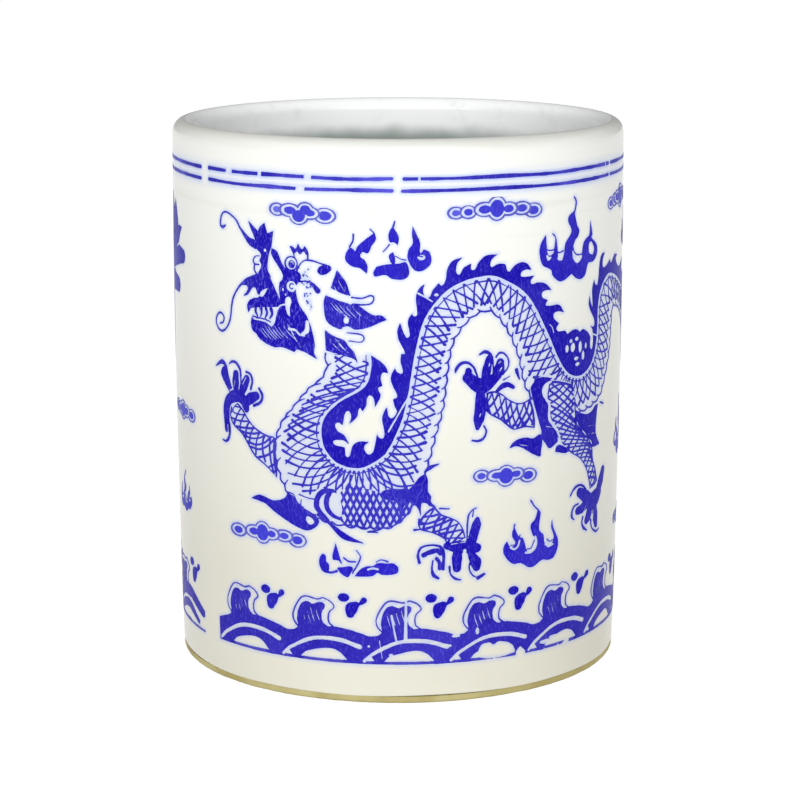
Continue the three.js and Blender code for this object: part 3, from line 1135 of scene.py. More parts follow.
@dataclass
class DragonHead:
    """The head in profile: whiskers, nose tuft, eyes, jaws, beard, horns and mane."""

    def draw(self, sheet: Sheet) -> None:
        """Draws the whole head."""
        self._whiskers(sheet)
        self._nose(sheet)
        self._face(sheet)
        self._eyes(sheet)
        self._brow(sheet)
        self._mane(sheet)

    def _whiskers(self, sheet: Sheet) -> None:
        """Draws the two long whiskers."""
        sheet.stroke("""-31.8,97 -33.2,97.6 -36,100.2 -37.4,102 -40.3,103.3 -41.7,102.7 -42.3,100.5
            -41.6,100 -40.7,100.4""", [1.6, 1.3, 0.42, 0.42, 0.45, 0.42, 0.5, 0.7, 0.4])
        sheet.stroke("""-31.6,90.6 -35.1,89.1 -38.3,85.4 -39.4,80.7 -40.5,78.7 -42.3,77.7 -43.9,78.7
            -44,80.5 -42.7,81.6 -41.5,80.9 -41.7,79.7 -42.7,79.3""", [0.9, 0.4, 0.5, 0.4, 0.4, 0.4, 0.4])

    def _nose(self, sheet: Sheet) -> None:
        """Draws the spiky nose tuft, the snout's ridge and the nostrils."""
        sheet.fill("""-33.8,102.1* -31.1,100.1* -30.5,101.1 -29.4,101.9* -28.7,99.8* -27.2,100.4* -27.7,97
            -28.3,95.5 -28.7,92.2 -27.9,90.6 -29,89.4 -31.6,90 -30.5,92.2 -30.3,93.2 -30.8,93.9*
            -30.4,95.2 -31.6,96.3 -33.2,97 -34.9,98.8* -31.9,98.2*""")
        sheet.dot(-29.3, 96.2, 0.32, cut=True)
        sheet.stroke("-30.7,94.9 -31.7,94.8 -32.4,94 -32.2,93.2 -31,93.05", 0.3)
        sheet.stroke("-32.1,93.1 -32.2,92 -31.6,91.1", 0.32)

    def _face(self, sheet: Sheet) -> None:
        """Draws lips, jaw, teeth and beard."""
        sheet.fill("""-36,88.3* -34.5,89.6 -31.5,90.6 -29.6,91.6 -28.4,91 -25.6,86 -25,84.9 -33,83.7
            -33.9,82.7* -34.3,84 -33.7,85.2 -32.4,85.9 -30.9,86.3 -31.4,87* -32,88.1 -32.8,87.9 -34,86.4
            -35.3,86* -34.1,88""")
        sheet.fill("""-33,81.7* -33.3,80.4 -32.8,79 -31.8,78.4* -30.8,77.3 -27.2,75.9 -25.2,76.1 -22.3,75.3*
            -21.5,76 -16.9,74.1* -17.8,75.5 -17.6,77.5 -19.2,82.8 -21.3,85.8 -21.8,89.2 -20.9,90.4
            -20.6,91.5 -21.3,92.3 -24.4,93 -26.4,96.3 -27.6,96.8* -27.7,95.5 -25,91.6 -25.1,90.4
            -25.8,89.6 -25.6,86.3 -25,85.2 -25.8,84.7 -27.5,80.8 -29,81.4""")
        sheet.stroke("-32.4,81.5 -29.2,81.2 -27.6,80.6 -26.5,83.6 -25.7,84.8 -24.6,85.2", 0.42, cut=True)
        sheet.stroke("-32.7,82 -29.2,81.6 -28,81.2", 0.22)
        sheet.strokes("""0.7,0.3: -31.9,83.8 -31.9,83 -31.4,82.2;
        0.9,0.4,0.3: -30.5,84 -30.3,83 -30.6,82.2;
        0.7,0.3: -29.2,84 -28.9,83 -29.4,82;
        0.8,0.3: -27.9,84 -27.6,83 -28.2,82""")
        sheet.fill("-31,86.4* -30.4,87.5 -28.5,88.5* -30,86.4", cut=True)
        sheet.fill("-24.4,86.3 -23.6,86.9 -22.9,86.1 -23.3,84.6 -23.2,82.6* -24,83.4", cut=True)
        sheet.stroke("-20.4,79.3 -19.4,80.1 -19.3,81.9", [0.7, 1.2, 0.7], cut=True)
        sheet.stroke("-23.5,80.1 -22,80 -21,79.1 -20,79", 0.5, cut=True)
        sheet.hatch((-31.6, 80.3), (-25.4, 81.2), (3, -3), 8)
        sheet.hatch((-24.6, 82), (-22, 78.4), (2, -3), 4)

    def _eyes(self, sheet: Sheet) -> None:
        """Draws the two round eyes with their swirls."""
        sheet.dot(-22.9, 93.9, 1.6, cut=True)
        sheet.ring(-22.9, 93.9, 1.45, 0.36)
        sheet.dot(-22.8, 93.8, 0.78, 0.86)
        sheet.stroke("-23.1,94.2 -22.6,94.3 -22.4,93.8", 0.2, cut=True)
        sheet.dot(-22.9, 89.1, 1.15, cut=True)
        sheet.stroke("-22.4,89.6 -23,89.7 -23.3,89.1 -22.9,88.6 -22.5,88.8", 0.24)
        sheet.dot(-24.9, 88.3, 0.22, 0.35, cut=True)
        sheet.dot(-24.3, 87.3, 0.2, 0.25, cut=True)

    def _brow(self, sheet: Sheet) -> None:
        """Draws the small crown, the forehead and the mottled cheek."""
        sheet.fill("""-23.3,97.6* -22.5,97.5 -21.9,97.1 -21.3,98.2* -20.4,97 -19.8,97.8* -19.2,96.9
            -19.3,95.9 -20,96.6 -20.9,95.9 -21.5,96.5 -22.3,96""")
        sheet.strokes("""0.3: -22.9,97.2 -22.4,96.2 -22.1,95.2;
        0.34: -19.4,97 -19.1,96.2 -19.1,95;
        0.34: -21.3,91.6 -21.5,92.8 -19.6,94.8 -15,94""")
        sheet.fill("-16.9,92.5 -16.2,93.8 -13.9,93.6 -15.4,92")
        sheet.stroke("-21,90.3 -18.7,90.3 -16.9,88.6", [0.4, 0.42, 1.2])
        draw = np.random.default_rng(5)
        for _ in range(46):
            down = draw.uniform(0, 1)
            u = -20.6 + 1.6 * down + draw.uniform(-0.6, 1.9) * (1 - 0.6 * down)
            sheet.dot(u, 93.6 - 9 * down, draw.uniform(0.12, 0.2))

    def _mane(self, sheet: Sheet) -> None:
        """Draws three locks of mane with two pale horns between them."""
        sheet.fill("-12.7,93.1* -10.8,90.6 -9.8,87.8* -11.6,88.2 -14.1,89.3*")
        sheet.fill("""-15.2,87.7* -10,86.1 -8.2,85.8 -5.2,84 -3.4,83.9 -2.3,83* -6.5,81.2 -9,80.8 -10.8,81
            -12.4,80.8 -15,82.4 -15.6,86""")
        sheet.fill("""-15.4,80.5* -13.5,79.3 -11.2,78.5 -10.2,77.2 -9,75.9 -8.2,73.2* -9.2,74.6
            -15.2,76.1*""")
        sheet.stroke("-9.6,87.5 -7.4,87.4 -5.2,87.9 -5.6,86.3 -9.5,86.1", 0.3)
        sheet.stroke("-10.6,80.1 -7.7,79.8 -7,79.1 -7.5,78.3 -10.2,78.4", 0.3)
        sheet.fill("-11.3,82.3 -10.9,83.5 -10.3,83 -10.4,82.1", cut=True)
        sheet.stroke("-11.4,81 -10.4,81.2 -9.2,80.6", 0.4, cut=True)
        sheet.hatch((-14.7, 86.6), (-9.6, 85.8), (3.4, -3.2), 5)
        sheet.hatch((-14.4, 79.2), (-12.4, 78.5), (2.8, -3), 3)
        sheet.hatch((-12.6, 91.8), (-13.6, 90.2), (1.8, -3), 2)


@dataclass
class DragonLegs:
    """The four scaled legs with their clawed feet and flame-shaped spurs."""

    front_leg: ScaledStrip = field(default_factory=lambda: ScaledStrip(
        """-37.6,62.6,-39.4,61.6 -36.2,61.6,-39.8,59.6 -34.7,59.8,-38.6,57.7 -32.9,58.2,-36.4,56.4
        -31,57.2,-34.8,54.6 -29,56.6,-32.6,52 -27.3,56.3,-29.3,50 -27.2,53,-26.9,48""",
        pitch=1.8, lean=0.62, scales_to=0.98, line=0.36,
    ))
    low_leg: ScaledStrip = field(default_factory=lambda: ScaledStrip(
        """7.5,43.2,4.4,40.6 9,41.5,4.6,38.6 10.8,40.7,6.8,37.8 12.6,39.8,8.9,36.9 13.8,38,10.1,35.9
        14.4,35.8,10.4,34.6""",
        pitch=1.6, lean=0.5, scales_to=0.98, line=0.4,
    ))
    middle_leg: ScaledStrip = field(default_factory=lambda: ScaledStrip(
        """19,66.8,18.9,63.3 20.6,67,20,62.2 22.4,66.3,22,61.2 24.2,64.9,23.6,59.9 26.2,64,25.6,58.5
        28,64,27.6,58.9 29.8,64.8,30.8,58.4""",
        pitch=1.75, lean=0.5, scales_to=0.98, line=0.42,
    ))
    hind_leg: ScaledStrip = field(default_factory=lambda: ScaledStrip(
        """35,67.8,41.6,66.2 34.4,64.8,42.8,63.6 34.9,61.5,43,60.8 36.2,58,43.6,57.6 38.2,54.6,45.4,55.4
        41.6,51.5,48.4,53 45.3,49.4,50,51 47.7,46.9,50.5,48.2 49,44.4,51.9,45.6 49.8,41.8,52.9,42.9""",
        pitch=1.55, lean=0.62, scales_to=0.99, line=0.38,
    ))

    def area(self, blank: Sheet) -> Sheet:
        """The haunch and hind leg, which lie in front of the body."""
        blank.fill(self.hind_leg.outline())
        blank.fill("30.1,64.7 29.6,66.7 31.9,69 35.4,68.6 36,62 34,55 31,61.4")
        return blank

    def limbs(self, blank: Sheet) -> Sheet:
        """All the scaled parts of the legs, for the pale stain inside them."""
        for strip in (self.front_leg, self.low_leg, self.middle_leg, self.hind_leg):
            blank.fill(strip.outline())
        return blank

    def draw(self, sheet: Sheet) -> None:
        """Draws every leg."""
        for seed, strip in enumerate((self.front_leg, self.low_leg, self.middle_leg, self.hind_leg)):
            patch = sheet.blank()
            strip.lattice(patch, seed=30 + seed)
            area = sheet.blank()
            area.fill(strip.outline())
            sheet.join(patch.within(area))
            for edge in (strip.back, strip.belly):
                sheet.stroke([tuple(p) for p in edge[::4]], 0.34)
        self._front_foot(sheet)
        self._low_foot(sheet)
        self._middle_foot(sheet)
        self._hind_foot(sheet)
        self._spurs(sheet)

    def _front_foot(self, sheet: Sheet) -> None:
        """Draws the raised foot on the left."""
        sheet.strokes("""1.6,2.2,2.8,2.4,1.6: -41,56.6 -40.7,62.4 -37.5,64.3 -35.6,63.4 -34.9,61.8;
        0.4,0.8,0.3: -40.2,58 -40.1,56 -40.7,54.4 -41.6,53.8 -42.6,54;
        1.2,2.4,1.4: -39.5,65 -41.6,68.6 -41.7,69.4;
        0.4,0.8,1,0.25: -40.5,68.6 -41.2,70.4 -42.4,71 -44.6,69.8;
        1.2,2.1,1.6: -37.9,64.8 -38,67 -37.9,69;
        0.4,0.6,0.7,0.3: -36.4,67.2 -36.6,70 -37.8,71.4 -39,71.5 -40,70.9;
        1.4,2.3,1.7: -36.6,64.4 -35.6,66.6 -34.7,68.3;
        0.5: -33.6,66.2 -33.1,68.2 -33.7,69.5 -34.8,69.8;
        1.8,2.5,1.8: -35.4,62.9 -33.6,64.3 -32.1,65;
        0.55: -32.8,62.8 -31,63.7 -30.4,65.2 -31.3,66.7""")
        sheet.strokes("""0.26: -40.8,57.6 -40.7,55.6;
        0.3: -39.9,65.1 -38.9,65.6;
        0.14: -38.6,66.2 -38.2,67.6;
        0.14: -35.9,67 -34.9,68.6""", cut=True)

    def _low_foot(self, sheet: Sheet) -> None:
        """Draws the low foot in the middle, with the dark hip above it."""
        sheet.fill("""5.8,50.3* 6.3,49 6.3,46.6 7,45.4 6.9,44.4 8.1,43.1* 6.8,43.3 5.7,44.1 4.9,43.9
            4.8,41.2* 4,43.2 2,44.4 0.5,40.9* -0.4,44.4 -2,44.7 -3.6,45.4 -3.2,46.7 -1.5,47.1 0.3,46.9
            1.9,47.8* 2.2,47 4.7,49.9""")
        sheet.stroke("5.6,50.6 6.6,51.6 8.6,52.4", [0.3, 0.9, 0.3])
        sheet.strokes("""1.6,2.4,2.8,2: 10.4,34.6 12.6,34.1 15,34.1 17,33.7;
        2.2,2,1: 15.6,34.2 16.9,38.8 17.1,40;
        0.35: 14.8,35 15,40.6 15.9,42 16.8,42.4;
        0.28: 16,40.6 16.2,42;
        0.6,0.5,0.4,0.8,0.7: 4.5,31.2 4.2,33 5.2,34.6 8.5,34.7 9.6,33.4 9.6,29.6;
        1.05: 5.4,32.8 8.2,33.7 9,33;
        0.9: 8.2,31.9 8.8,31 8.9,29.8;
        0.4,0.4,0.8,0.5: 7.4,31.5 7.2,29.6 7.6,28.3 8.6,27.6;
        1.7,2.4,1.8: 12.8,34 12.6,31.8 12.6,29.6;
        0.6,0.4,0.6,0.3: 11,30 11.2,28.4 12.3,27.3 13.5,27;
        1.7,1.8,2.6,1.6: 15.6,34 16,32 16.8,30.6 17,29.4;
        0.32: 15.4,30.5 15.4,29 16.2,27.7 17,27.3;
        0.9,0.6: 17.4,27.1 18.8,27.8""")
        sheet.strokes("""0.7: 14.3,33.3 14.2,31;
        0.24: 6.2,32.6 7.4,32.9;
        0.2: 11.4,34.9 14.4,35.2""", cut=True)

    def _middle_foot(self, sheet: Sheet) -> None:
        """Draws the foot under the first arch."""
        sheet.strokes("""2.2,3.4,1.8: 14.6,70.4 17.8,68.5 21.4,70.4;
        2.4,0.6: 17.2,68.4 17.8,67.2;
        0.4,0.4,0.6,0.7,0.3: 16.8,70.6 15.9,72.6 14.6,73.6 13.2,73.5 12.1,72.3 12,71.7;
        2.2,2.2,1.4: 15.8,69.4 15,70.8 14.8,71.8;
        1.8,2.1,1.4: 18.5,69.5 18.9,71.8 19.4,74.2;
        0.3,0.4,0.6,0.8,0.4: 20.3,70.4 20.3,73 19.7,75 18.5,75.7 17.3,75.2;
        1.6,2.6,1.8: 20.8,70 21.7,71.6 22,73.2;
        0.4: 22.6,70.6 23.8,72 23.9,73.6 23,74.9 21.8,75.2 21,74.4;
        0.7,1.2,0.8: 21.2,67 22.4,68 23.8,68.3 25.2,67.6;
        0.3: 22.8,69.4 24.2,70;
        0.8,0.3: 25.9,71.2 26.3,70 26.7,69.2;
        2,2.7,2.4,0.9: 17.5,66.9 17.6,64 17.2,61.5 16.9,59.5;
        0.3,0.4,0.6,0.4: 18.3,60 18.9,58.8 18.4,57.4 17.2,56.8 15.8,57""")
        sheet.strokes("""0.3: 17.6,62.6 17.4,62;
        0.26: 21.9,71.4 22.3,72;
        0.22: 21.6,73 22.1,73.4;
        0.26: 15.6,71.5 16.1,71;
        0.22: 19.5,73.2 19.4,72.6""", cut=True)

    def _hind_foot(self, sheet: Sheet) -> None:
        """Draws the foot on the right."""
        sheet.strokes("""2.2,3,3.8,4,2.6: 45.4,41.7 48,40.3 50,38.8 52.4,39.2 54,40.2;
        0.4,0.5,0.6,0.4: 48,41.9 46.6,43 44.9,43.4 43.2,42.8 42,41.6;
        2.6,1.8: 48.8,39.2 46.6,38 44.8,37.7;
        0.4,0.5,0.7,0.3: 45,39.3 43.5,39 42.7,37.8 42.8,36.6 43.7,36;
        2.4,2.4,1.8: 50,37.8 49.3,35.8 48.5,34.9;
        0.6,0.5,0.8,0.3: 46.9,36 46.6,34.6 47.4,33.4 48.8,32.6;
        1.9,2.4,1.5: 52,37.8 52.5,35 53,33;
        0.6,0.45,0.6,0.3: 50.4,34.6 50.9,32.8 53.2,31.4 54.7,31.8;
        2.2,2.7,1.8: 53.6,40.6 55,42.6 56.1,44.8""")
        sheet.strokes("""0.16: 48.2,38.2 46.8,36.6;
        0.3: 51.6,36.4 51.4,34.6;
        0.16: 49.6,41.4 51.6,41""", cut=True)

    def _spurs(self, sheet: Sheet) -> None:
        """Draws the haunch flame, the spurs and the ribbons that trail from the legs."""
        sheet.fill("""29.6,66.7 30.5,68.2 31.9,69 35.5,68.4* 34.5,67.8 33.2,67.3 32.6,66 33,64.7 34.3,63.1
            34.6,59.4 36.8,57.2 37.5,54.4* 35,53.2 33.9,54.4 32.7,56 32.6,57.4""")
        sheet.stroke("""35.1,67.6 33.7,67.1 33.2,65.8 33.8,64.2 34.8,62.8 34.8,60.8 35.2,59.2 37.4,56.6
            38.7,53.6 40.1,52.5""", 0.62, cut=True)
        sheet.fill("""24.5,54.6* 25.2,55.6 26.6,56.3 28.7,56.4 30.4,56 32.6,56.5 32.6,52* 32.1,51.8
            26.3,54.8""")
        sheet.fill("36.8,52.2* 37.1,53.2 38.1,53.5 41.8,51.8* 40,51.4")
        sheet.fill("""42.8,60.6* 45.6,59.2 47.9,58.7 49.9,59.1 51.2,60 52.5,60.1* 52,58.3 51.8,53.8 53.7,51*
            50.1,51 50,52.1 48.4,53.2 46.8,54.9 45.1,56 43.3,58.8""")
        sheet.stroke("42.4,64.4 43.2,62.9 44.4,61.1", 0.45, cut=True)
        sheet.stroke("53.6,60.3 55.2,59.8", [0.3, 0.5])
        sheet.hatch((45, 57.8), (48.4, 54.2), (4.2, -0.3), 3)
        sheet.hatch((26.6, 55.4), (33.2, 58.6), (2.6, -0.7), 2)
        sheet.fill("""-34.1,42.5* -31.6,43.6 -27.8,42.9 -25.1,43.8 -24.3,45.1* -23.1,44.4 -21.6,42.7
            -17.4,40.4 -17.1,39 -19.2,37.3 -21.6,37.6 -27.5,40.3 -30.4,42""")
        sheet.fill("-20,39.4 -19.6,40.4 -18.1,39.3 -19,38.6", cut=True)
        sheet.strokes("""0.8,0.6,1.4,0.2: -17.2,40.9 -14.9,39.4 -11.4,36.6 -7.4,35.3;
        0.3,0.6,0.3: -6.4,37.8 -5.2,37.9 -4.3,37.7;
        0.35: 8.8,42.8 9.8,42.7 10.8,42.6;
        0.5,0.3: 3.4,38.3 4.8,38.4""")


# Clouds, flames and sea.
@dataclass(frozen=True)
class Cloud:
    """A lucky cloud: a chain of outlined lobes with a pale band and a deeper core."""

    u: float
    v: float
    left: Path
    right: Path
    middle: Path
    line: float = 0.3
    band: float = 0.42

    def draw(self, sheet: Sheet, cores: Sheet) -> None:
        """Draws the outlines on one sheet and the paler cores on another.

        Args:
            sheet: takes the outlines.
            cores: takes the cores.
        """
        groups = [[lobe] for lobe in (*path(self.left), *reversed(path(self.right)))]
        for group in (*groups, path(self.middle)):
            shape = sheet.blank()
            for du, dv, across, up in group:
                shape.dot(self.u + du, self.v + dv, across, up)
            sheet.minus(shape)
            cores.minus(shape)
            edge = shape.blank().join(shape)
            edge.ink = np.maximum(shape.ink, -(shape.ink + self.line)).astype(np.float32)
            core = shape.blank().join(shape)
            core.ink = (shape.ink + self.line + self.band).astype(np.float32)
            sheet.join(edge)
            cores.join(core)


CLOUDS: tuple[Cloud, ...] = (
    Cloud(-20.5, 104.6, "-5.7,0.4,2,1.4", "5.2,-0.4,2.5,1.7",
          "-2.7,0.4,2.6,1.5 -0.6,-0.7,2.3,1.9 0.9,0.6,2,1.7 2,0,2.2,1.4"),
    Cloud(21, 105.4, "-9,-0.5,1.9,1.35 -6.4,-0.4,1.9,1.45", "5.9,-0.2,2.4,1.5 8.8,-0.8,2.4,1.6",
          "-2.8,0,2.5,1.6 0,0.1,2.3,2.65 2.7,-0.1,2.3,1.5"),
    Cloud(65.6, 104, "-7.4,-0.8,2.1,1.4 -4.7,-0.3,2.1,1.5", "5.8,0.1,2.2,1.5 8.4,-0.3,2.2,1.5",
          "-2.4,0,2.6,1.6 0.6,0,2.6,2.7 3.2,0.1,2.3,1.5"),
    Cloud(-31, 35.4, "-7,-0.5,2.5,1.5", "5.6,0,2.4,1.4 8.9,-0.6,2.2,1.6",
          "-2.4,-0.1,2.6,1.5 0,0,2.3,2.55 2.4,0,2.2,1.45"),
    Cloud(23.7, 48.7, "-5.8,0.5,1.9,1.4", "5.6,-0.5,2.3,1.6",
          "-2.2,0.3,2.6,1.4 0,0,2.4,2.4 2.5,0.2,2.2,1.4"),
    Cloud(94.6, 57, "-5.8,0.1,2.1,1.4", "6,-0.3,2.2,1.5",
          "-2.4,0,2.6,1.5 0,0,2.5,2.2 2.6,0,2.3,1.5"),
    Cloud(73.6, 31, "-5.7,0.2,2,1.4", "5.4,-0.3,2.2,1.5",
          "-2.3,0.1,2.5,1.5 0,0,2.4,2.4 2.5,0,2.2,1.4"),
)


@dataclass(frozen=True)
class Flame:
    """A fire ball with tongues, drawn about its own origin at the bottom middle."""

    u: float
    v: float
    outline: Path
    slits: str
    wisps: str
    scale: float = 1.0
    mirror: bool = False

    def draw(self, sheet: Sheet) -> None:
        """Draws the flame, opens its pale slits, then adds its thin wisps."""
        sheet.fill(moved(self.outline, self.u, self.v, self.scale, self.mirror))
        for line, widths in marks(self.slits):
            sheet.stroke(moved(line, self.u, self.v, self.scale, self.mirror), widths, cut=True)
        for line, widths in marks(self.wisps):
            sheet.stroke(moved(line, self.u, self.v, self.scale, self.mirror), widths)


TALL_FLAME: dict[str, str] = {
    "outline": """-9.4,8.3 -7.8,10.7* -7.2,6.4 -6.2,6.2 -4.9,7.2* -4.2,5.2 -3.2,4.9 -2.6,5.6 -2,8.3
        -0.1,10.6 -1.2,12.8 -1,13.9 0.8,14.9* 1.8,11.7 2.5,10.5 2.1,9.4 1.1,8.6 0.4,6.2 2.1,4 3.3,4.5
        4.1,7.5 5.2,8.6 6.3,9.2 6.7,11.8* 7.4,10 7.3,8.6 9.4,6.9 9.9,5.2 9,3.8 7.6,3.2 6.1,3.1 5,0.9 3.6,0.1
        1.9,0.3 0.1,1.5* -3.2,0.3 -5.8,1.8 -6.2,3 -8.8,4.5""",
    "slits": """0.5,0.8,0.4: -7.4,6.1 -7,5.5 -6.4,5.7;
    0.3,0.7,0.5: -4.8,6.3 -4,5.2 -3,5;
    0.4,0.8,1,0.5: 0.4,6.1 0.9,4.8 2.1,4.1 3.4,4.8;
    1.5,2.2,1.5: 7,6.9 7.3,6 7.6,5.6""",
    "wisps": """0.28: -7.4,7.4 -6.4,7.2 -5.3,7.3;
    0.25,0.32,1.4: -5.9,10.7 -5,9.7 -5,5.8;
    0.28: -4.8,6.7 -3.8,6.5 -2.6,6.8;
    0.3: 0.5,7 1,6 2.1,5.4 3.6,5.4;
    0.4: 0.7,17.8 1.4,16.7 0.8,14.4;
    0.2,0.9: 6.7,12 7,10.6 7.2,9.2""",
}

LOW_FLAME: dict[str, str] = {
    "outline": """-6.3,6.7* -7.1,5.3 -7,3.8 -4.7,1.5 -2.8,1.4 0,0 3,1.2 5,0.9 6.8,1.5 7.9,4.4 6.3,7.8
        5.8,9.4* 5.9,7.4 6.4,5.8 5.9,4.6 3.8,4.9 3.3,6.8 2.1,8 2.4,11.8 1.7,12.7* 0.9,10.6 -0.3,9.4 0.3,7.2
        1.3,6.2 1.5,4.8 0.6,3.6 -0.9,3.7 -2.3,6.9 -3.2,7.2 -4.4,9.4* -5,8.6 -4.9,7.2 -4.2,6.2 -4.6,5.4
        -5.6,5.6""",
    "slits": """0.5: -1.4,3.5 0,3.5 1.1,4.3 1.5,5.6 1.1,6.7;
    0.4,0.7,0.4: 3.9,4.6 4.8,4.1 6.2,4.2;
    0.45: -5.4,5.2 -4.4,4.7 -3.5,5.2 -3.1,6.4""",
    "wisps": """0.28: -1.1,4.3 -0.1,4.3 0.8,5.9;
    0.28: 4.4,5.6 5.2,5 6.4,5.2;
    0.28: -5.4,5.7 -4.3,5.7 -3,7.6;
    0.3: 1.6,12.6 0.7,13.4 -0.3,14.8;
    0.2,0.7: 5.8,9.4 5.9,8 6.6,6.6;
    0.25: -4.4,10.1 -4.6,9.2""",
}

FLAMES: tuple[Flame, ...] = (
    Flame(41, 88.5, **TALL_FLAME),
    Flame(30.4, 27.7, **LOW_FLAME),
    Flame(95, 34, **LOW_FLAME, scale=0.62, mirror=True),
    Flame(71.4, 45.6, **TALL_FLAME, scale=0.74, mirror=True),
    Flame(73, 92, **LOW_FLAME, scale=0.6),
)


@dataclass
class BrokenFlames:
    """Two flames whose print tore as it was laid, so that only parts of them took."""

    def draw(self, sheet: Sheet) -> None:
        """Draws the high torn flame and the low one."""
        self._high(sheet)
        self._low(sheet)

    def _high(self, sheet: Sheet) -> None:
        """Draws the three torn parts over the first arch."""
        sheet.fill("""-4.8,101.1* -4.5,99.7 -5.5,98.2 -6.2,96.8 -7.4,97 -7.8,96 -6.9,95.3 -6.3,93.9
            -6.5,92.6* -7.8,93.6 -9.3,93.9 -10.6,94.7 -11,95.9 -9.9,97.8 -8.8,97* -8.2,98.3""")
        sheet.stroke("-10,98 -9.3,99.3 -9.2,100.6", 0.35)
        sheet.stroke("-5,101 -5.7,101.7", 0.3)
        sheet.fill("-1.1,102.5* -2,100.9 -1.7,99.1 -0.8,99.1 -0.1,98.5* 0.1,100.2")
        sheet.stroke("-0.7,103.4 -1,102.3", [0.3, 0.5])
        sheet.stroke("-1.8,98.6 -2.4,97.8 -3.1,97.1", 0.3)
        sheet.fill("-1,97.1* -1.9,96.3 -0.9,94.4 -0.6,95.6")
        sheet.stroke("-0.5,96.2 0.6,95.6 1.6,95.4", 0.26)
        sheet.fill("-5.1,92.8* -4.2,94.1 0.2,94.7 1.7,94.9 2,91.9 -1.3,91.5 -2.5,92.3 -4.8,92")
        sheet.fill("""3,102.3* 2.85,100.6 3,98.9 2.1,97.4 2,95.6 3.8,93.1 6.6,94.4 6.5,96.9 5.2,97.6*
            4.6,96.8 4.5,98.9""")
        sheet.dot(4.8, 95.9, 0.85, 0.6, cut=True)
        sheet.stroke("4,96.3 5,96.1", 0.22)

    def _low(self, sheet: Sheet) -> None:
        """Draws the torn flame under the coil."""
        sheet.fill("""-17.1,31.3 -16.3,32.5 -15.6,32.1 -15.5,30.9 -14.9,30.2 -15,28.9 -15.9,28.4
            -16.9,29.5""")
        sheet.stroke("-15.6,28.6 -14.4,28.5 -13.2,28.9", 0.5)
        sheet.fill("-13,29.5 -12,29.8 -9.8,30 -10.1,28.7 -10.9,27.7")
        sheet.fill("-13.4,35* -14.1,31.5 -12.8,31.3 -12,30.4*")
        sheet.stroke("-11.6,31.9 -10.5,31.2 -9.1,31.2", 0.3)
        sheet.stroke("-8.9,33.7 -8,32.2 -9.7,28.7", 0.3)
        sheet.fill("""-9.3,28* -8,29.6 -6.6,30.3 -5.3,30.4 -4.4,31.1 -2.4,31 -0.8,31 0.1,30 -0.2,28.9
            -3.4,28.5 -4.4,28.9 -5.4,28.2""")
        sheet.stroke("-6.4,29.6 -5.4,29.9 -4.3,29.7", 0.45, cut=True)
        sheet.stroke("-4.6,31.3 -3.6,31.8 -2.2,31.4", 0.3)


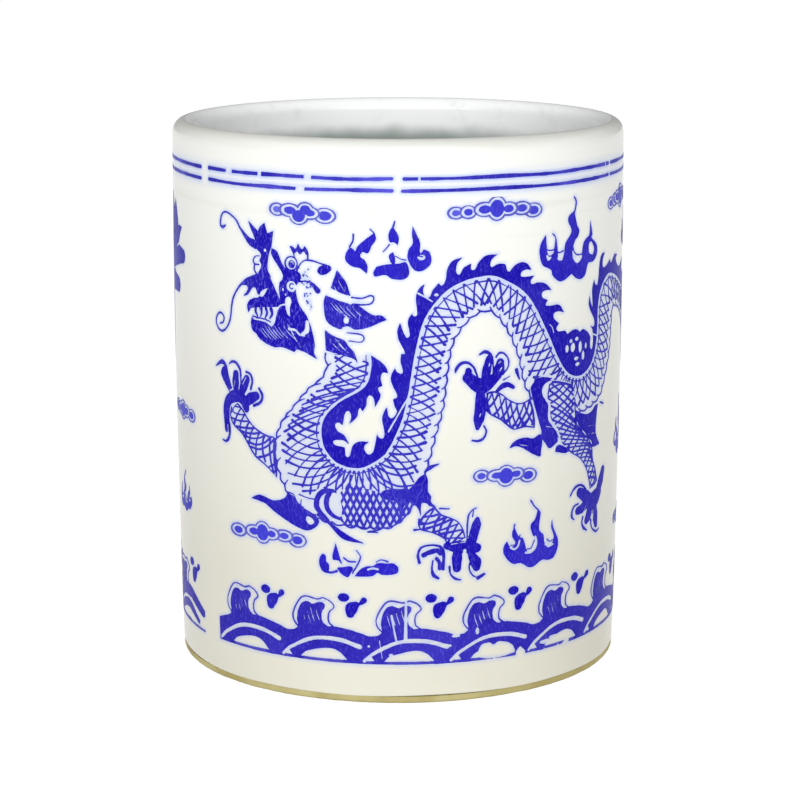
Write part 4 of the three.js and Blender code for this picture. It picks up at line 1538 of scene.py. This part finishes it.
@dataclass
class SeaBorder:
    """The sea along the bottom: scalloped waves, breaking crests and flecks of foam."""

    crests: int = 8
    first: float = -38.0
    pitch: float = 18.8
    left_end: float = -45.5
    right_end: float = 105.0
    crowding: float = 3.0
    base: float = 8.75
    lowest: float = 5.0
    highest: float = 26.0

    def _crest(self, number: int) -> float:
        """Where a crest stands along the wall; the last one is crowded in."""
        last = number == self.crests - 1
        return self.first + self.pitch * number - self.crowding * last

    def draw(self, sheet: Sheet) -> None:
        """Draws the waves."""
        top = [(self.left_end, self.base, 1), (self.left_end, 13.9, 1)]
        for number in range(self.crests):
            top += moved("""-4,15.1* -3.1,15.9 -3.3,17.7 -2.9,19.8 -2,21.3 -0.8,21.7 0.5,21.3 1.9,21.8
                3.1,21.5 3.2,20.7 2.6,19.8 2.5,18.4 2.8,17.4 3.8,16.6* 5.6,16.7 8,16.3 11,15.6 13,14.9""",
                self._crest(number), 0)
        top += [(self.right_end, 14.6, 1), (self.right_end, self.base, 1)]
        sheet.fill(top)
        for number in range(self.crests):
            self._wave(sheet, self._crest(number))
        self._wear(sheet)
        self._torn_end(sheet)
        edge = sheet.blank()
        edge.block(self.left_end, self.lowest, self.right_end, self.highest)
        sheet.within(edge)

    def _wave(self, sheet: Sheet, u: float) -> None:
        """Draws one wave's pale bands and its crest."""
        sheet.stroke(moved("-6.9,9.4 -4.9,11.1 0.6,13.7 6.6,13.8 10.9,12.5", u, 0), [0.7, 1], cut=True)
        sheet.fill(moved("-2.6,9.4* -1.2,10.6 4,11.8 6.4,11.2 8.3,9.4*", u, 0), cut=True)
        sheet.fill(moved("12.3,9.4* 13.2,10.9* 14.2,9.4*", u, 0), cut=True)
        sheet.stroke(moved("11.8,11.2 13.4,10.6 14.4,10.2", u, 0), 0.3)
        sheet.stroke(moved("""-2.9,15.8 -4.1,17.2 -4.2,19 -2.5,22.1 -1.2,22.8 1.6,22.4 3,22.8 5.3,21.2
            4.2,19.7 4.1,17.6 5.2,16.6""", u, 0), 0.32)
        sheet.hatch((u - 2.2, 19.6), (u + 0.9, 20.9), (1.1, -3.4), 4, 0.2)

    def _wear(self, sheet: Sheet) -> None:
        """Scratches and gaps where the print tore."""
        sheet.stroke("-1.4,19.6 -0.9,16.6 -0.4,14.2", 0.45, cut=True)
        sheet.stroke("1.7,23.2 1.65,18 1.6,14.2", [0.5, 0.8], cut=True)
        sheet.fill("18,9.4 18.2,12 20.2,12.5 21.3,11.9 22.4,12.4 24.6,12 26.2,10.9 26.4,9.4", cut=True)
        sheet.stroke("18,12.7 23.4,12.9 27.4,11", [0.3, 1.2, 0.5])
        sheet.fill("26.9,7.5* 26.9,9.6* 28,10.6* 29.4,9.4* 29.2,7.5*", cut=True)
        sheet.dots("""17.4,15.3,0.45,0.8 10.9,12.6,0.7,0.3 -6.3,12.7,0.35,0.3 -1.5,10.8,0.45,0.4
            35,10.4,1.6,0.5 37.6,11.1,1.4,0.35 42,9.2,1,0.5 12.6,14.7,1.1,0.4""", cut=True)
        for gap in ((40.6, 41.1), (38.9, 39.2), (34.6, 34.9)):
            sheet.block(gap[0], 7.6, gap[1], 9.1, cut=True)
        sheet.stroke("-4,14 -3.4,10", 0.14, cut=True)

    def _torn_end(self, sheet: Sheet) -> None:
        """Ends the sea in three loose strands, where the sheet was cut."""
        sheet.block(96.4, self.lowest, 108, self.highest, cut=True)
        sheet.strokes("""2.6,2.6,1.9: 93.6,16.2 97.4,15.7 104.2,12.7;
        1.7,1.9,1.1: 94,13 96.8,12.4 101.6,10.2;
        0.45: 94,8.95 99.6,8.9 104.8,8.7""")

    def foam(self, sheet: Sheet) -> None:
        """Draws three flecks of foam beside each crest."""
        draw = np.random.default_rng(9)
        for number in range(self.crests):
            u = self._crest(number)
            if u + 13 > self.right_end:
                continue
            du, dv = draw.uniform(-0.25, 0.25, 2)
            sheet.dot(u + 7.4 + du, 23.1 + dv, 1.25, 0.95)
            sheet.stroke([(u + 10.1, 21.7), (u + 9.2, 20.9), (u + 8.9, 19.7)], [1.6, 2.7, 1.8])
            sheet.stroke([(u + 9.6, 21.6), (u + 11, 22), (u + 11.9 - du, 22.8)], [1.3, 0.6, 1.4])


@dataclass
class LipLines:
    """The double line under the lip, in six strips that do not quite meet."""

    spans: Sequence[Point] = ((0.9, 56.1), (57.2, 107.4), (110.2, 155.8))
    breaks: Sequence[Point] = (
        (4.1, 4.6, 112), (54.2, 54.9, 112), (116.7, 118.7, 112), (125.9, 127, 112),
        (137.1, 138.9, 112), (135.3, 137.4, 109.6), (74, 75, 112),
    )
    upper: float = 112.0
    lower: float = 109.6
    width: float = 0.78

    def strip(self, number: int) -> Sheet:
        """Draws one strip's two lines, as it lies on the unrolled wall from angle 0."""
        start, end = self.spans[number]
        sheet = Sheet((start - 2, 107.6), (end + 2, 114))
        draw = np.random.default_rng(40 + number)
        for level in (self.upper, self.lower):
            sway = draw.uniform(-0.12, 0.12, 6)
            spots = [(u, level + s) for u, s in zip(np.linspace(start + draw.uniform(0, 0.8), end, 6), sway)]
            sheet.stroke(spots, [self.width, self.width * 0.8, self.width * 1.1, self.width * 0.85,
                                 self.width, self.width * 0.9])
        for left, right, level in self.breaks:
            sheet.fill([(left, level - 0.7, 1), (left + 0.1, level + 0.7, 1),
                        (right, level + 0.7, 1), (right - 0.1, level - 0.7, 1)], cut=True)
        return sheet.roughen(60 + number, 0.03, 0.06)


# Decoration and pot.
class Decoration:
    """The whole cobalt drawing: two dragon sheets and six strips of lines."""

    LOW = (-46.5, 6.0)
    HIGH = (106.0, 108.0)
    HALF_TURN = 157.08
    MARGIN = 0.2
    LINES_LOW = 107.8
    LINES_HIGH = 113.8
    BLEED_REACH = 0.75
    BLEED = 0.5
    LINE_BLEED = 0.6
    LINE_VEIL = 0.07
    BODY_TINT = 0.24
    BACK_TINT = 0.42

    def __init__(self, form: PotForm) -> None:
        """Draws every sheet."""
        self.form = form
        body, fins, legs = DragonBody(), DragonFins(), DragonLegs()
        front = legs.area(self._blank())
        self.sheets: dict[str, Sheet] = {
            name: self._blank()
            for name in ("dragon_body", "dragon_fins", "dragon_head", "dragon_legs", "clouds",
                         "cloud_cores", "flames", "sea_waves", "sea_foam")
        }
        body.draw(self.sheets["dragon_body"])
        self.sheets["dragon_body"].minus(front, 0.15)
        fins.draw(self.sheets["dragon_fins"], body)
        DragonHead().draw(self.sheets["dragon_head"])
        legs.draw(self.sheets["dragon_legs"])
        for cloud in CLOUDS:
            cloud.draw(self.sheets["clouds"], self.sheets["cloud_cores"])
        for flame in (*FLAMES, BrokenFlames()):
            flame.draw(self.sheets["flames"])
        sea = SeaBorder()
        sea.draw(self.sheets["sea_waves"])
        sea.foam(self.sheets["sea_foam"])
        self.stain = body.area(self._blank()).join(legs.limbs(self._blank()))
        self.stain.join(self._closed("clouds"))
        self.back_line = self._blank()
        self.back_line.stroke(body.strip.back[::4], body.white_line)
        self.strips = [LipLines().strip(number) for number in range(3)]
        for seed, sheet in enumerate(self.sheets.values()):
            sheet.roughen(70 + 2 * seed)

    def _blank(self) -> Sheet:
        """A blank sheet of the dragon's size."""
        return Sheet(self.LOW, self.HIGH)

    def _closed(self, name: str) -> Sheet:
        """A sheet's ink grown until its gaps close, for the stain between its lines."""
        grown = self._blank().join(self.sheets[name])
        grown.ink -= 0.5
        return grown

    def build(self) -> None:
        """Traces and wraps every sheet, on both sides of the pot."""
        inks = {
            "clouds": CobaltInk("thin_cobalt", deep=linear(54, 50, 165), thin=linear(86, 86, 174)),
            "cloud_cores": CobaltInk("pale_cobalt", deep=linear(54, 54, 182),
                                     thin=linear(112, 116, 208), dark=linear(38, 36, 160)),
            "flames": CobaltInk("flame_cobalt", deep=linear(34, 25, 168), thin=linear(62, 56, 172)),
            "sea_waves": CobaltInk("sea_cobalt", deep=linear(40, 32, 153), thin=linear(70, 66, 162)),
            "dragon_head": CobaltInk("head_cobalt", streak=0.75),
        }
        made = {name: ink.material() for name, ink in inks.items()}
        deep = CobaltInk("dragon_cobalt").material()
        lines = CobaltInk("line_cobalt", deep=linear(24, 15, 138), worn=0.6).material()
        for name, sheet in self.sheets.items():
            traced = Tracer(sheet, self.form)
            for side in Side:
                node = f"dragon_transfer_{side.name.lower()}"
                ink = made.get(name, deep)
                traced.piece(f"{name}_{side.name.lower()}", side.value, ink, [node])
        for number, sheet in enumerate(self.strips):
            traced = Tracer(sheet, self.form)
            for side in Side:
                strip = 3 * (side is Side.BACK) + number + 1
                traced.piece(f"lip_lines_{strip}", side.value, lines, [f"line_strip_{strip}"])

    def haze(self, angle: np.ndarray, z: np.ndarray) -> np.ndarray:
        """How much the cobalt stains the glaze at some spots on the wall, from 0 to 1."""
        total = self._blank()
        for sheet in self.sheets.values():
            total.join(sheet)
        u = (np.degrees(angle) * self.form.unroll_radius * math.pi / 180) % (2 * self.HALF_TURN)
        amount = np.zeros(len(u))
        for base in (u, u - self.HALF_TURN, u - 2 * self.HALF_TURN):
            on = (base > self.LOW[0] + self.MARGIN) & (base < self.HIGH[0] - self.MARGIN)
            on &= (z > self.LOW[1] + self.MARGIN) & (z < self.LINES_LOW)
            away = total.sample(total.ink, base[on], z[on])
            inner = total.sample(self.stain.ink, base[on], z[on])
            bleed = self.BLEED * np.clip(1 - np.maximum(away, 0) / self.BLEED_REACH, 0, 1) ** 1.6
            tint = self.BODY_TINT * np.clip(-inner / 0.5, 0, 1)
            line = self.BACK_TINT * (total.sample(self.back_line.ink, base[on], z[on]) < 0)
            amount[on] = np.maximum.reduce([amount[on], bleed, tint, line])
        for sheet in self.strips:
            for base in (u, u - self.HALF_TURN):
                on = (base > sheet.u[0] + self.MARGIN) & (base < sheet.u[-1] - self.MARGIN)
                on &= (z > self.LINES_LOW) & (z < self.LINES_HIGH)
                away = np.maximum(sheet.sample(sheet.ink, base[on], z[on]), 0)
                bleed = self.LINE_BLEED * np.clip(1 - away, 0, 1) ** 2.0 + self.LINE_VEIL
                amount[on] = np.maximum(amount[on], bleed)
        return amount


@dataclass
class GlazedPot:
    """The glazed and bare surfaces of the pot itself."""

    ROLL_RISES = (0.05, 0.18, 0.36)
    ROLL_SET_IN = (0.2, 0.07, 0.01)

    form: PotForm
    decoration: Decoration
    columns: int = 440
    rows: int = 165
    bare_height: float = 1.45
    floor_top: float = 9.0
    fillet: float = 3.0
    foot_width: float = 5.8
    foot_height: float = 3.0
    foot_round: float = 0.7
    glaze_edge: float = 40.0
    clay_edge: float = 35.0

    def build(self) -> None:
        """Builds every surface."""
        self._outside()
        self._inside()
        self._base()
        self._foot()
        self._biscuit()

    def _outside(self) -> None:
        """The glaze from the foot up over the outer half of the lip."""
        form = self.form
        edge = self.bare_height
        roll = [edge + rise for rise in self.ROLL_RISES]
        heights = np.concatenate([roll, np.linspace(edge + 0.7, form.lip_level, self.rows)])
        radii = form.outside(heights) - form.sunk
        radii[: len(roll)] -= self.ROLL_SET_IN
        wall = [(r, z) for r, z in zip(radii, heights)]
        centre = (form.lip_centre, form.lip_level)
        over = arc(centre, form.lip_round - form.sunk, 0, 90, 40)[1:]
        under = arc(centre, form.lip_round - form.glaze, 90, 0, 8)
        inner = [(float(form.outside(np.array(z))) - form.glaze, z) for z in (60.0, edge + 0.1)]
        profile = np.array([*wall, *over, *under, *inner])
        face_rows = len(wall) + len(over)

        def shift(radius: np.ndarray, level: np.ndarray, angle: np.ndarray) -> tuple:
            """Adds the ripple, faded out over the lip, and a wavering lower edge."""
            ripple = form.ripple(angle, level)
            fade = np.clip((form.height - level) / form.lip_round, 0, 1)
            ripple[face_rows:] = 0
            waver = 0.11 * np.sin(4 * angle + 0.6) + 0.07 * np.sin(9 * angle) + 0.1
            level = level + waver * np.clip(1 - (level - edge) / 2.5, 0, 1)
            return radius + ripple * fade, level

        points, faces = turned(profile, self.columns, shift)
        glaze = OutsideGlaze().material()
        piece = make_piece("glazed_outside", points, faces, glaze, ["outer_glaze"])
        smooth_shade(piece, self.glaze_edge)
        angle = np.arctan2(points[:, 0], -points[:, 1])
        store(piece, "cobalt_haze", self.decoration.haze(angle, points[:, 2] / MM))

    def _inside(self) -> None:
        """The glaze from the lip's top down the inner wall and over the floor."""
        form = self.form
        centre = (form.lip_centre, form.lip_level)
        radius = form.lip_centre - form.lip_round + form.sunk
        corner = (radius - self.fillet, self.floor_top + self.fillet)
        floor = [(r, self.floor_top) for r in (0.0, 6.0, 12.0, 18.0, 24.0, 30.0, 36.0)]
        bend = arc(corner, self.fillet, -90, 0, 10)
        wall = [(radius, z) for z in np.linspace(corner[1] + 1.5, form.lip_level, 70)]
        over = arc(centre, form.lip_round - form.sunk, 180, 90, 40)[1:]
        thin = form.glaze
        under = arc(centre, form.lip_round - thin, 90, 180, 8)
        back = arc(corner, self.fillet + thin, 0, -90, 6)
        profile = np.array([*floor, *bend, *wall, *over, *under, *back, (0.0, self.floor_top - thin)])
        shown = len(floor) + len(bend) + len(wall)

        def shift(radius_: np.ndarray, level: np.ndarray, angle: np.ndarray) -> tuple:
            """Adds throwing rings and slight sways to the shown surface."""
            rings = 0.05 * np.sin(level / 1.3 + 1.5 * np.sin(angle)) + 0.06 * np.sin(3 * angle + level / 9)
            fade = np.clip((form.lip_level - level) / 3.0, 0, 1) * np.clip((level - 9.0) / 3.0, 0, 1)
            swell = rings * fade
            swell[shown:] = 0
            return radius_ - 0.5 * np.abs(swell), level

        points, faces = turned(profile, 300, shift)
        piece = make_piece("glazed_inside", points, faces, InsideGlaze().material(),
                           ["inner_glaze"])
        smooth_shade(piece, self.glaze_edge)

    def _base(self) -> None:
        """The glazed recess inside the foot ring."""
        form = self.form
        outer = form.foot_radius - self.foot_width - 0.2
        top, thin = self.foot_height - 0.1, form.glaze
        radii = [0.0, *np.linspace(3.0, outer - 1.2, 14), outer - 0.5, outer]
        rise = [0.0] * 15 + [0.05, 0.22]
        under = [(r, top - thin + lift) for r, lift in zip(radii, rise)]
        profile = np.array([*under, (outer, top), (0.0, top)])
        count = len(under)

        def shift(radius: np.ndarray, level: np.ndarray, angle: np.ndarray) -> tuple:
            """Lets the glaze pool unevenly."""
            pool = 0.04 * np.sin(radius / 5 + 2 * angle) + 0.03 * np.sin(radius / 2.3 - 3 * angle)
            pool[count:] = 0
            pool[0] = 0
            return radius, level + np.abs(pool)

        points, faces = turned(profile, 160, shift)
        glaze = InsideGlaze("base_glaze_finish", linear(238, 240, 232), linear(226, 230, 222), 0.0, 0.004)
        piece = make_piece("glazed_base", points, faces, glaze.material(), ["base_glaze"])
        smooth_shade(piece, self.glaze_edge)

    def _foot(self) -> None:
        """The bare foot ring, rubbed round at its edges and gritty."""
        form = self.form
        outer = form.foot_radius - 0.1
        inner = outer - self.foot_width
        round_ = self.foot_round
        bottom = [(r, 0.0) for r in np.linspace(inner + round_, outer - round_, 12)]
        rim = arc((outer - round_, round_), round_, -90, 0, 6)[1:]
        side = [(outer, 1.0), (outer, 1.3), (outer - 0.05, 1.55), (outer - 0.6, 1.62),
                (outer - 0.6, self.foot_height), (inner, self.foot_height), (inner, 1.9)]
        heel = arc((inner + round_, round_), round_, 180, 270, 6)[:-1]
        profile = np.array([*bottom, *rim, *side, *heel])
        grit = value_noise((len(profile), 540), 1.6, 88)
        grit += 0.8 * value_noise((len(profile), 540), 6.0, 89)
        top_row = len(bottom) + len(rim) + 2

        def shift(radius: np.ndarray, level: np.ndarray, angle: np.ndarray) -> tuple:
            """Pits the bare clay; the pits only go inwards."""
            seam = 0.5 - 0.5 * np.cos(np.clip(angle / 0.2, 0, math.pi))
            depth = 0.045 * np.clip(grit + 0.6, 0, 2) * seam
            depth[top_row + 1 : top_row + 5] = 0
            outward = np.where(level < 0.05, 0.0, np.where(radius > outer - 1.5, -1.0, 1.0))
            lift = np.where(level < 0.3, depth, 0.0)
            lift[len(bottom) // 2 - 2 : len(bottom) // 2 + 2] *= 0.2
            return radius + outward * depth, level + lift

        points, faces = turned(profile, 540, shift)
        piece = make_piece("bare_foot_ring", points, faces, BareFoot().material(),
                           ["foot_ring"])
        smooth_shade(piece, self.clay_edge)

    def _biscuit(self) -> None:
        """Gives the clay under the glaze its finish."""
        clay = Biscuit().material()
        for name in ("wall", "lip", "floor_slab"):
            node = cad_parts[name]
            node.data.materials.clear()
            node.data.materials.append(clay)
            LOG.info("%s: fired clay finish", name)


# Studio.
@dataclass
class Studio:
    """Camera, floor and soft light."""

    distance: float = 0.579
    camera_height: float = 0.1763
    pitch_down: float = 11.76
    lens: float = 117.5
    sideways: float = -0.0024
    sky: float = 0.5
    horizon: float = 0.26
    fade_from: float = 0.2
    fade_to: float = 0.7
    softbox_place: Point = (-0.1, -1.75, 0.62)
    softbox_aim: Point = (0.0, 0.0, 0.06)
    softbox_size: Point = (3.3, 1.3)
    softbox_power: float = 42.0

    def build(self) -> None:
        """Sets everything up."""
        self._camera()
        self._floor()
        self._tent()
        self._softbox()
        bpy.context.scene.view_settings.view_transform = "Standard"

    def _camera(self) -> None:
        """A long lens, a little above the pot and looking slightly down."""
        data = bpy.data.cameras.new("camera")
        data.lens = self.lens
        data.sensor_width = 36.0
        data.shift_x = -self.sideways
        data.clip_end = 100.0
        camera = bpy.data.objects.new("camera", data)
        camera.location = (0.0, -self.distance, self.camera_height)
        camera.rotation_euler = (math.radians(90 - self.pitch_down), 0.0, 0.0)
        bpy.context.scene.collection.objects.link(camera)
        bpy.context.scene.camera = camera

    def _floor(self) -> None:
        """A wide pale floor at the foot's level."""
        half = 20.0
        mesh = bpy.data.meshes.new("floor")
        corners = [(-half, -half, 0.0), (half, -half, 0.0), (half, half, 0.0), (-half, half, 0.0)]
        mesh.from_pydata(corners, [], [(0, 1, 2, 3)])
        mesh.materials.append(PaleFloor().material())
        floor = bpy.data.objects.new("floor", mesh)
        bpy.context.scene.collection.objects.link(floor)

    def _softbox(self) -> None:
        """A large soft oblong light in front, a little to the left."""
        data = bpy.data.lights.new("front_softbox", "AREA")
        data.shape = "RECTANGLE"
        data.size, data.size_y = self.softbox_size
        data.energy = self.softbox_power
        light = bpy.data.objects.new("front_softbox", data)
        light.location = self.softbox_place
        way = Vector(self.softbox_aim) - Vector(self.softbox_place)
        light.rotation_euler = way.to_track_quat("-Z", "Y").to_euler()
        bpy.context.scene.collection.objects.link(light)

    def _tent(self) -> None:
        """A dim soft tent, darker along the horizon."""
        world = bpy.data.worlds.new("tent")
        bpy.context.scene.world = world
        world.use_nodes = True
        tree = world.node_tree
        spot = tree.nodes.new("ShaderNodeTexCoord")
        parts = tree.nodes.new("ShaderNodeSeparateXYZ")
        tree.links.new(spot.outputs["Generated"], parts.inputs[0])
        ramp = tree.nodes.new("ShaderNodeMapRange")
        ramp.interpolation_type = "SMOOTHSTEP"
        tree.links.new(parts.outputs["Z"], ramp.inputs["Value"])
        for name, number in (("From Min", self.fade_from), ("From Max", self.fade_to),
                             ("To Min", self.horizon), ("To Max", self.sky)):
            ramp.inputs[name].default_value = number
        tree.links.new(ramp.outputs[0], tree.nodes["Background"].inputs["Strength"])
        tree.nodes["Background"].inputs["Color"].default_value = (1.0, 1.0, 1.0, 1.0)


def main() -> None:
    """Builds the pot, its drawing and the studio."""
    logging.basicConfig(level=logging.INFO, format="%(name)s %(message)s")
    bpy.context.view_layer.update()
    form = PotForm()
    Studio().build()
    decoration = Decoration(form)
    decoration.build()
    GlazedPot(form, decoration).build()


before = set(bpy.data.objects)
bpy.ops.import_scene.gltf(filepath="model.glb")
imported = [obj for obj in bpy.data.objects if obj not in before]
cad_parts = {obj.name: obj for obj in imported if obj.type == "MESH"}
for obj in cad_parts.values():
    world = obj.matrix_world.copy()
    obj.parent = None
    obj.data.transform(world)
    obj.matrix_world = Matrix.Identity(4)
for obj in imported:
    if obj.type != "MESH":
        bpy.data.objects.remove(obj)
if __name__ == "__main__":
    main()
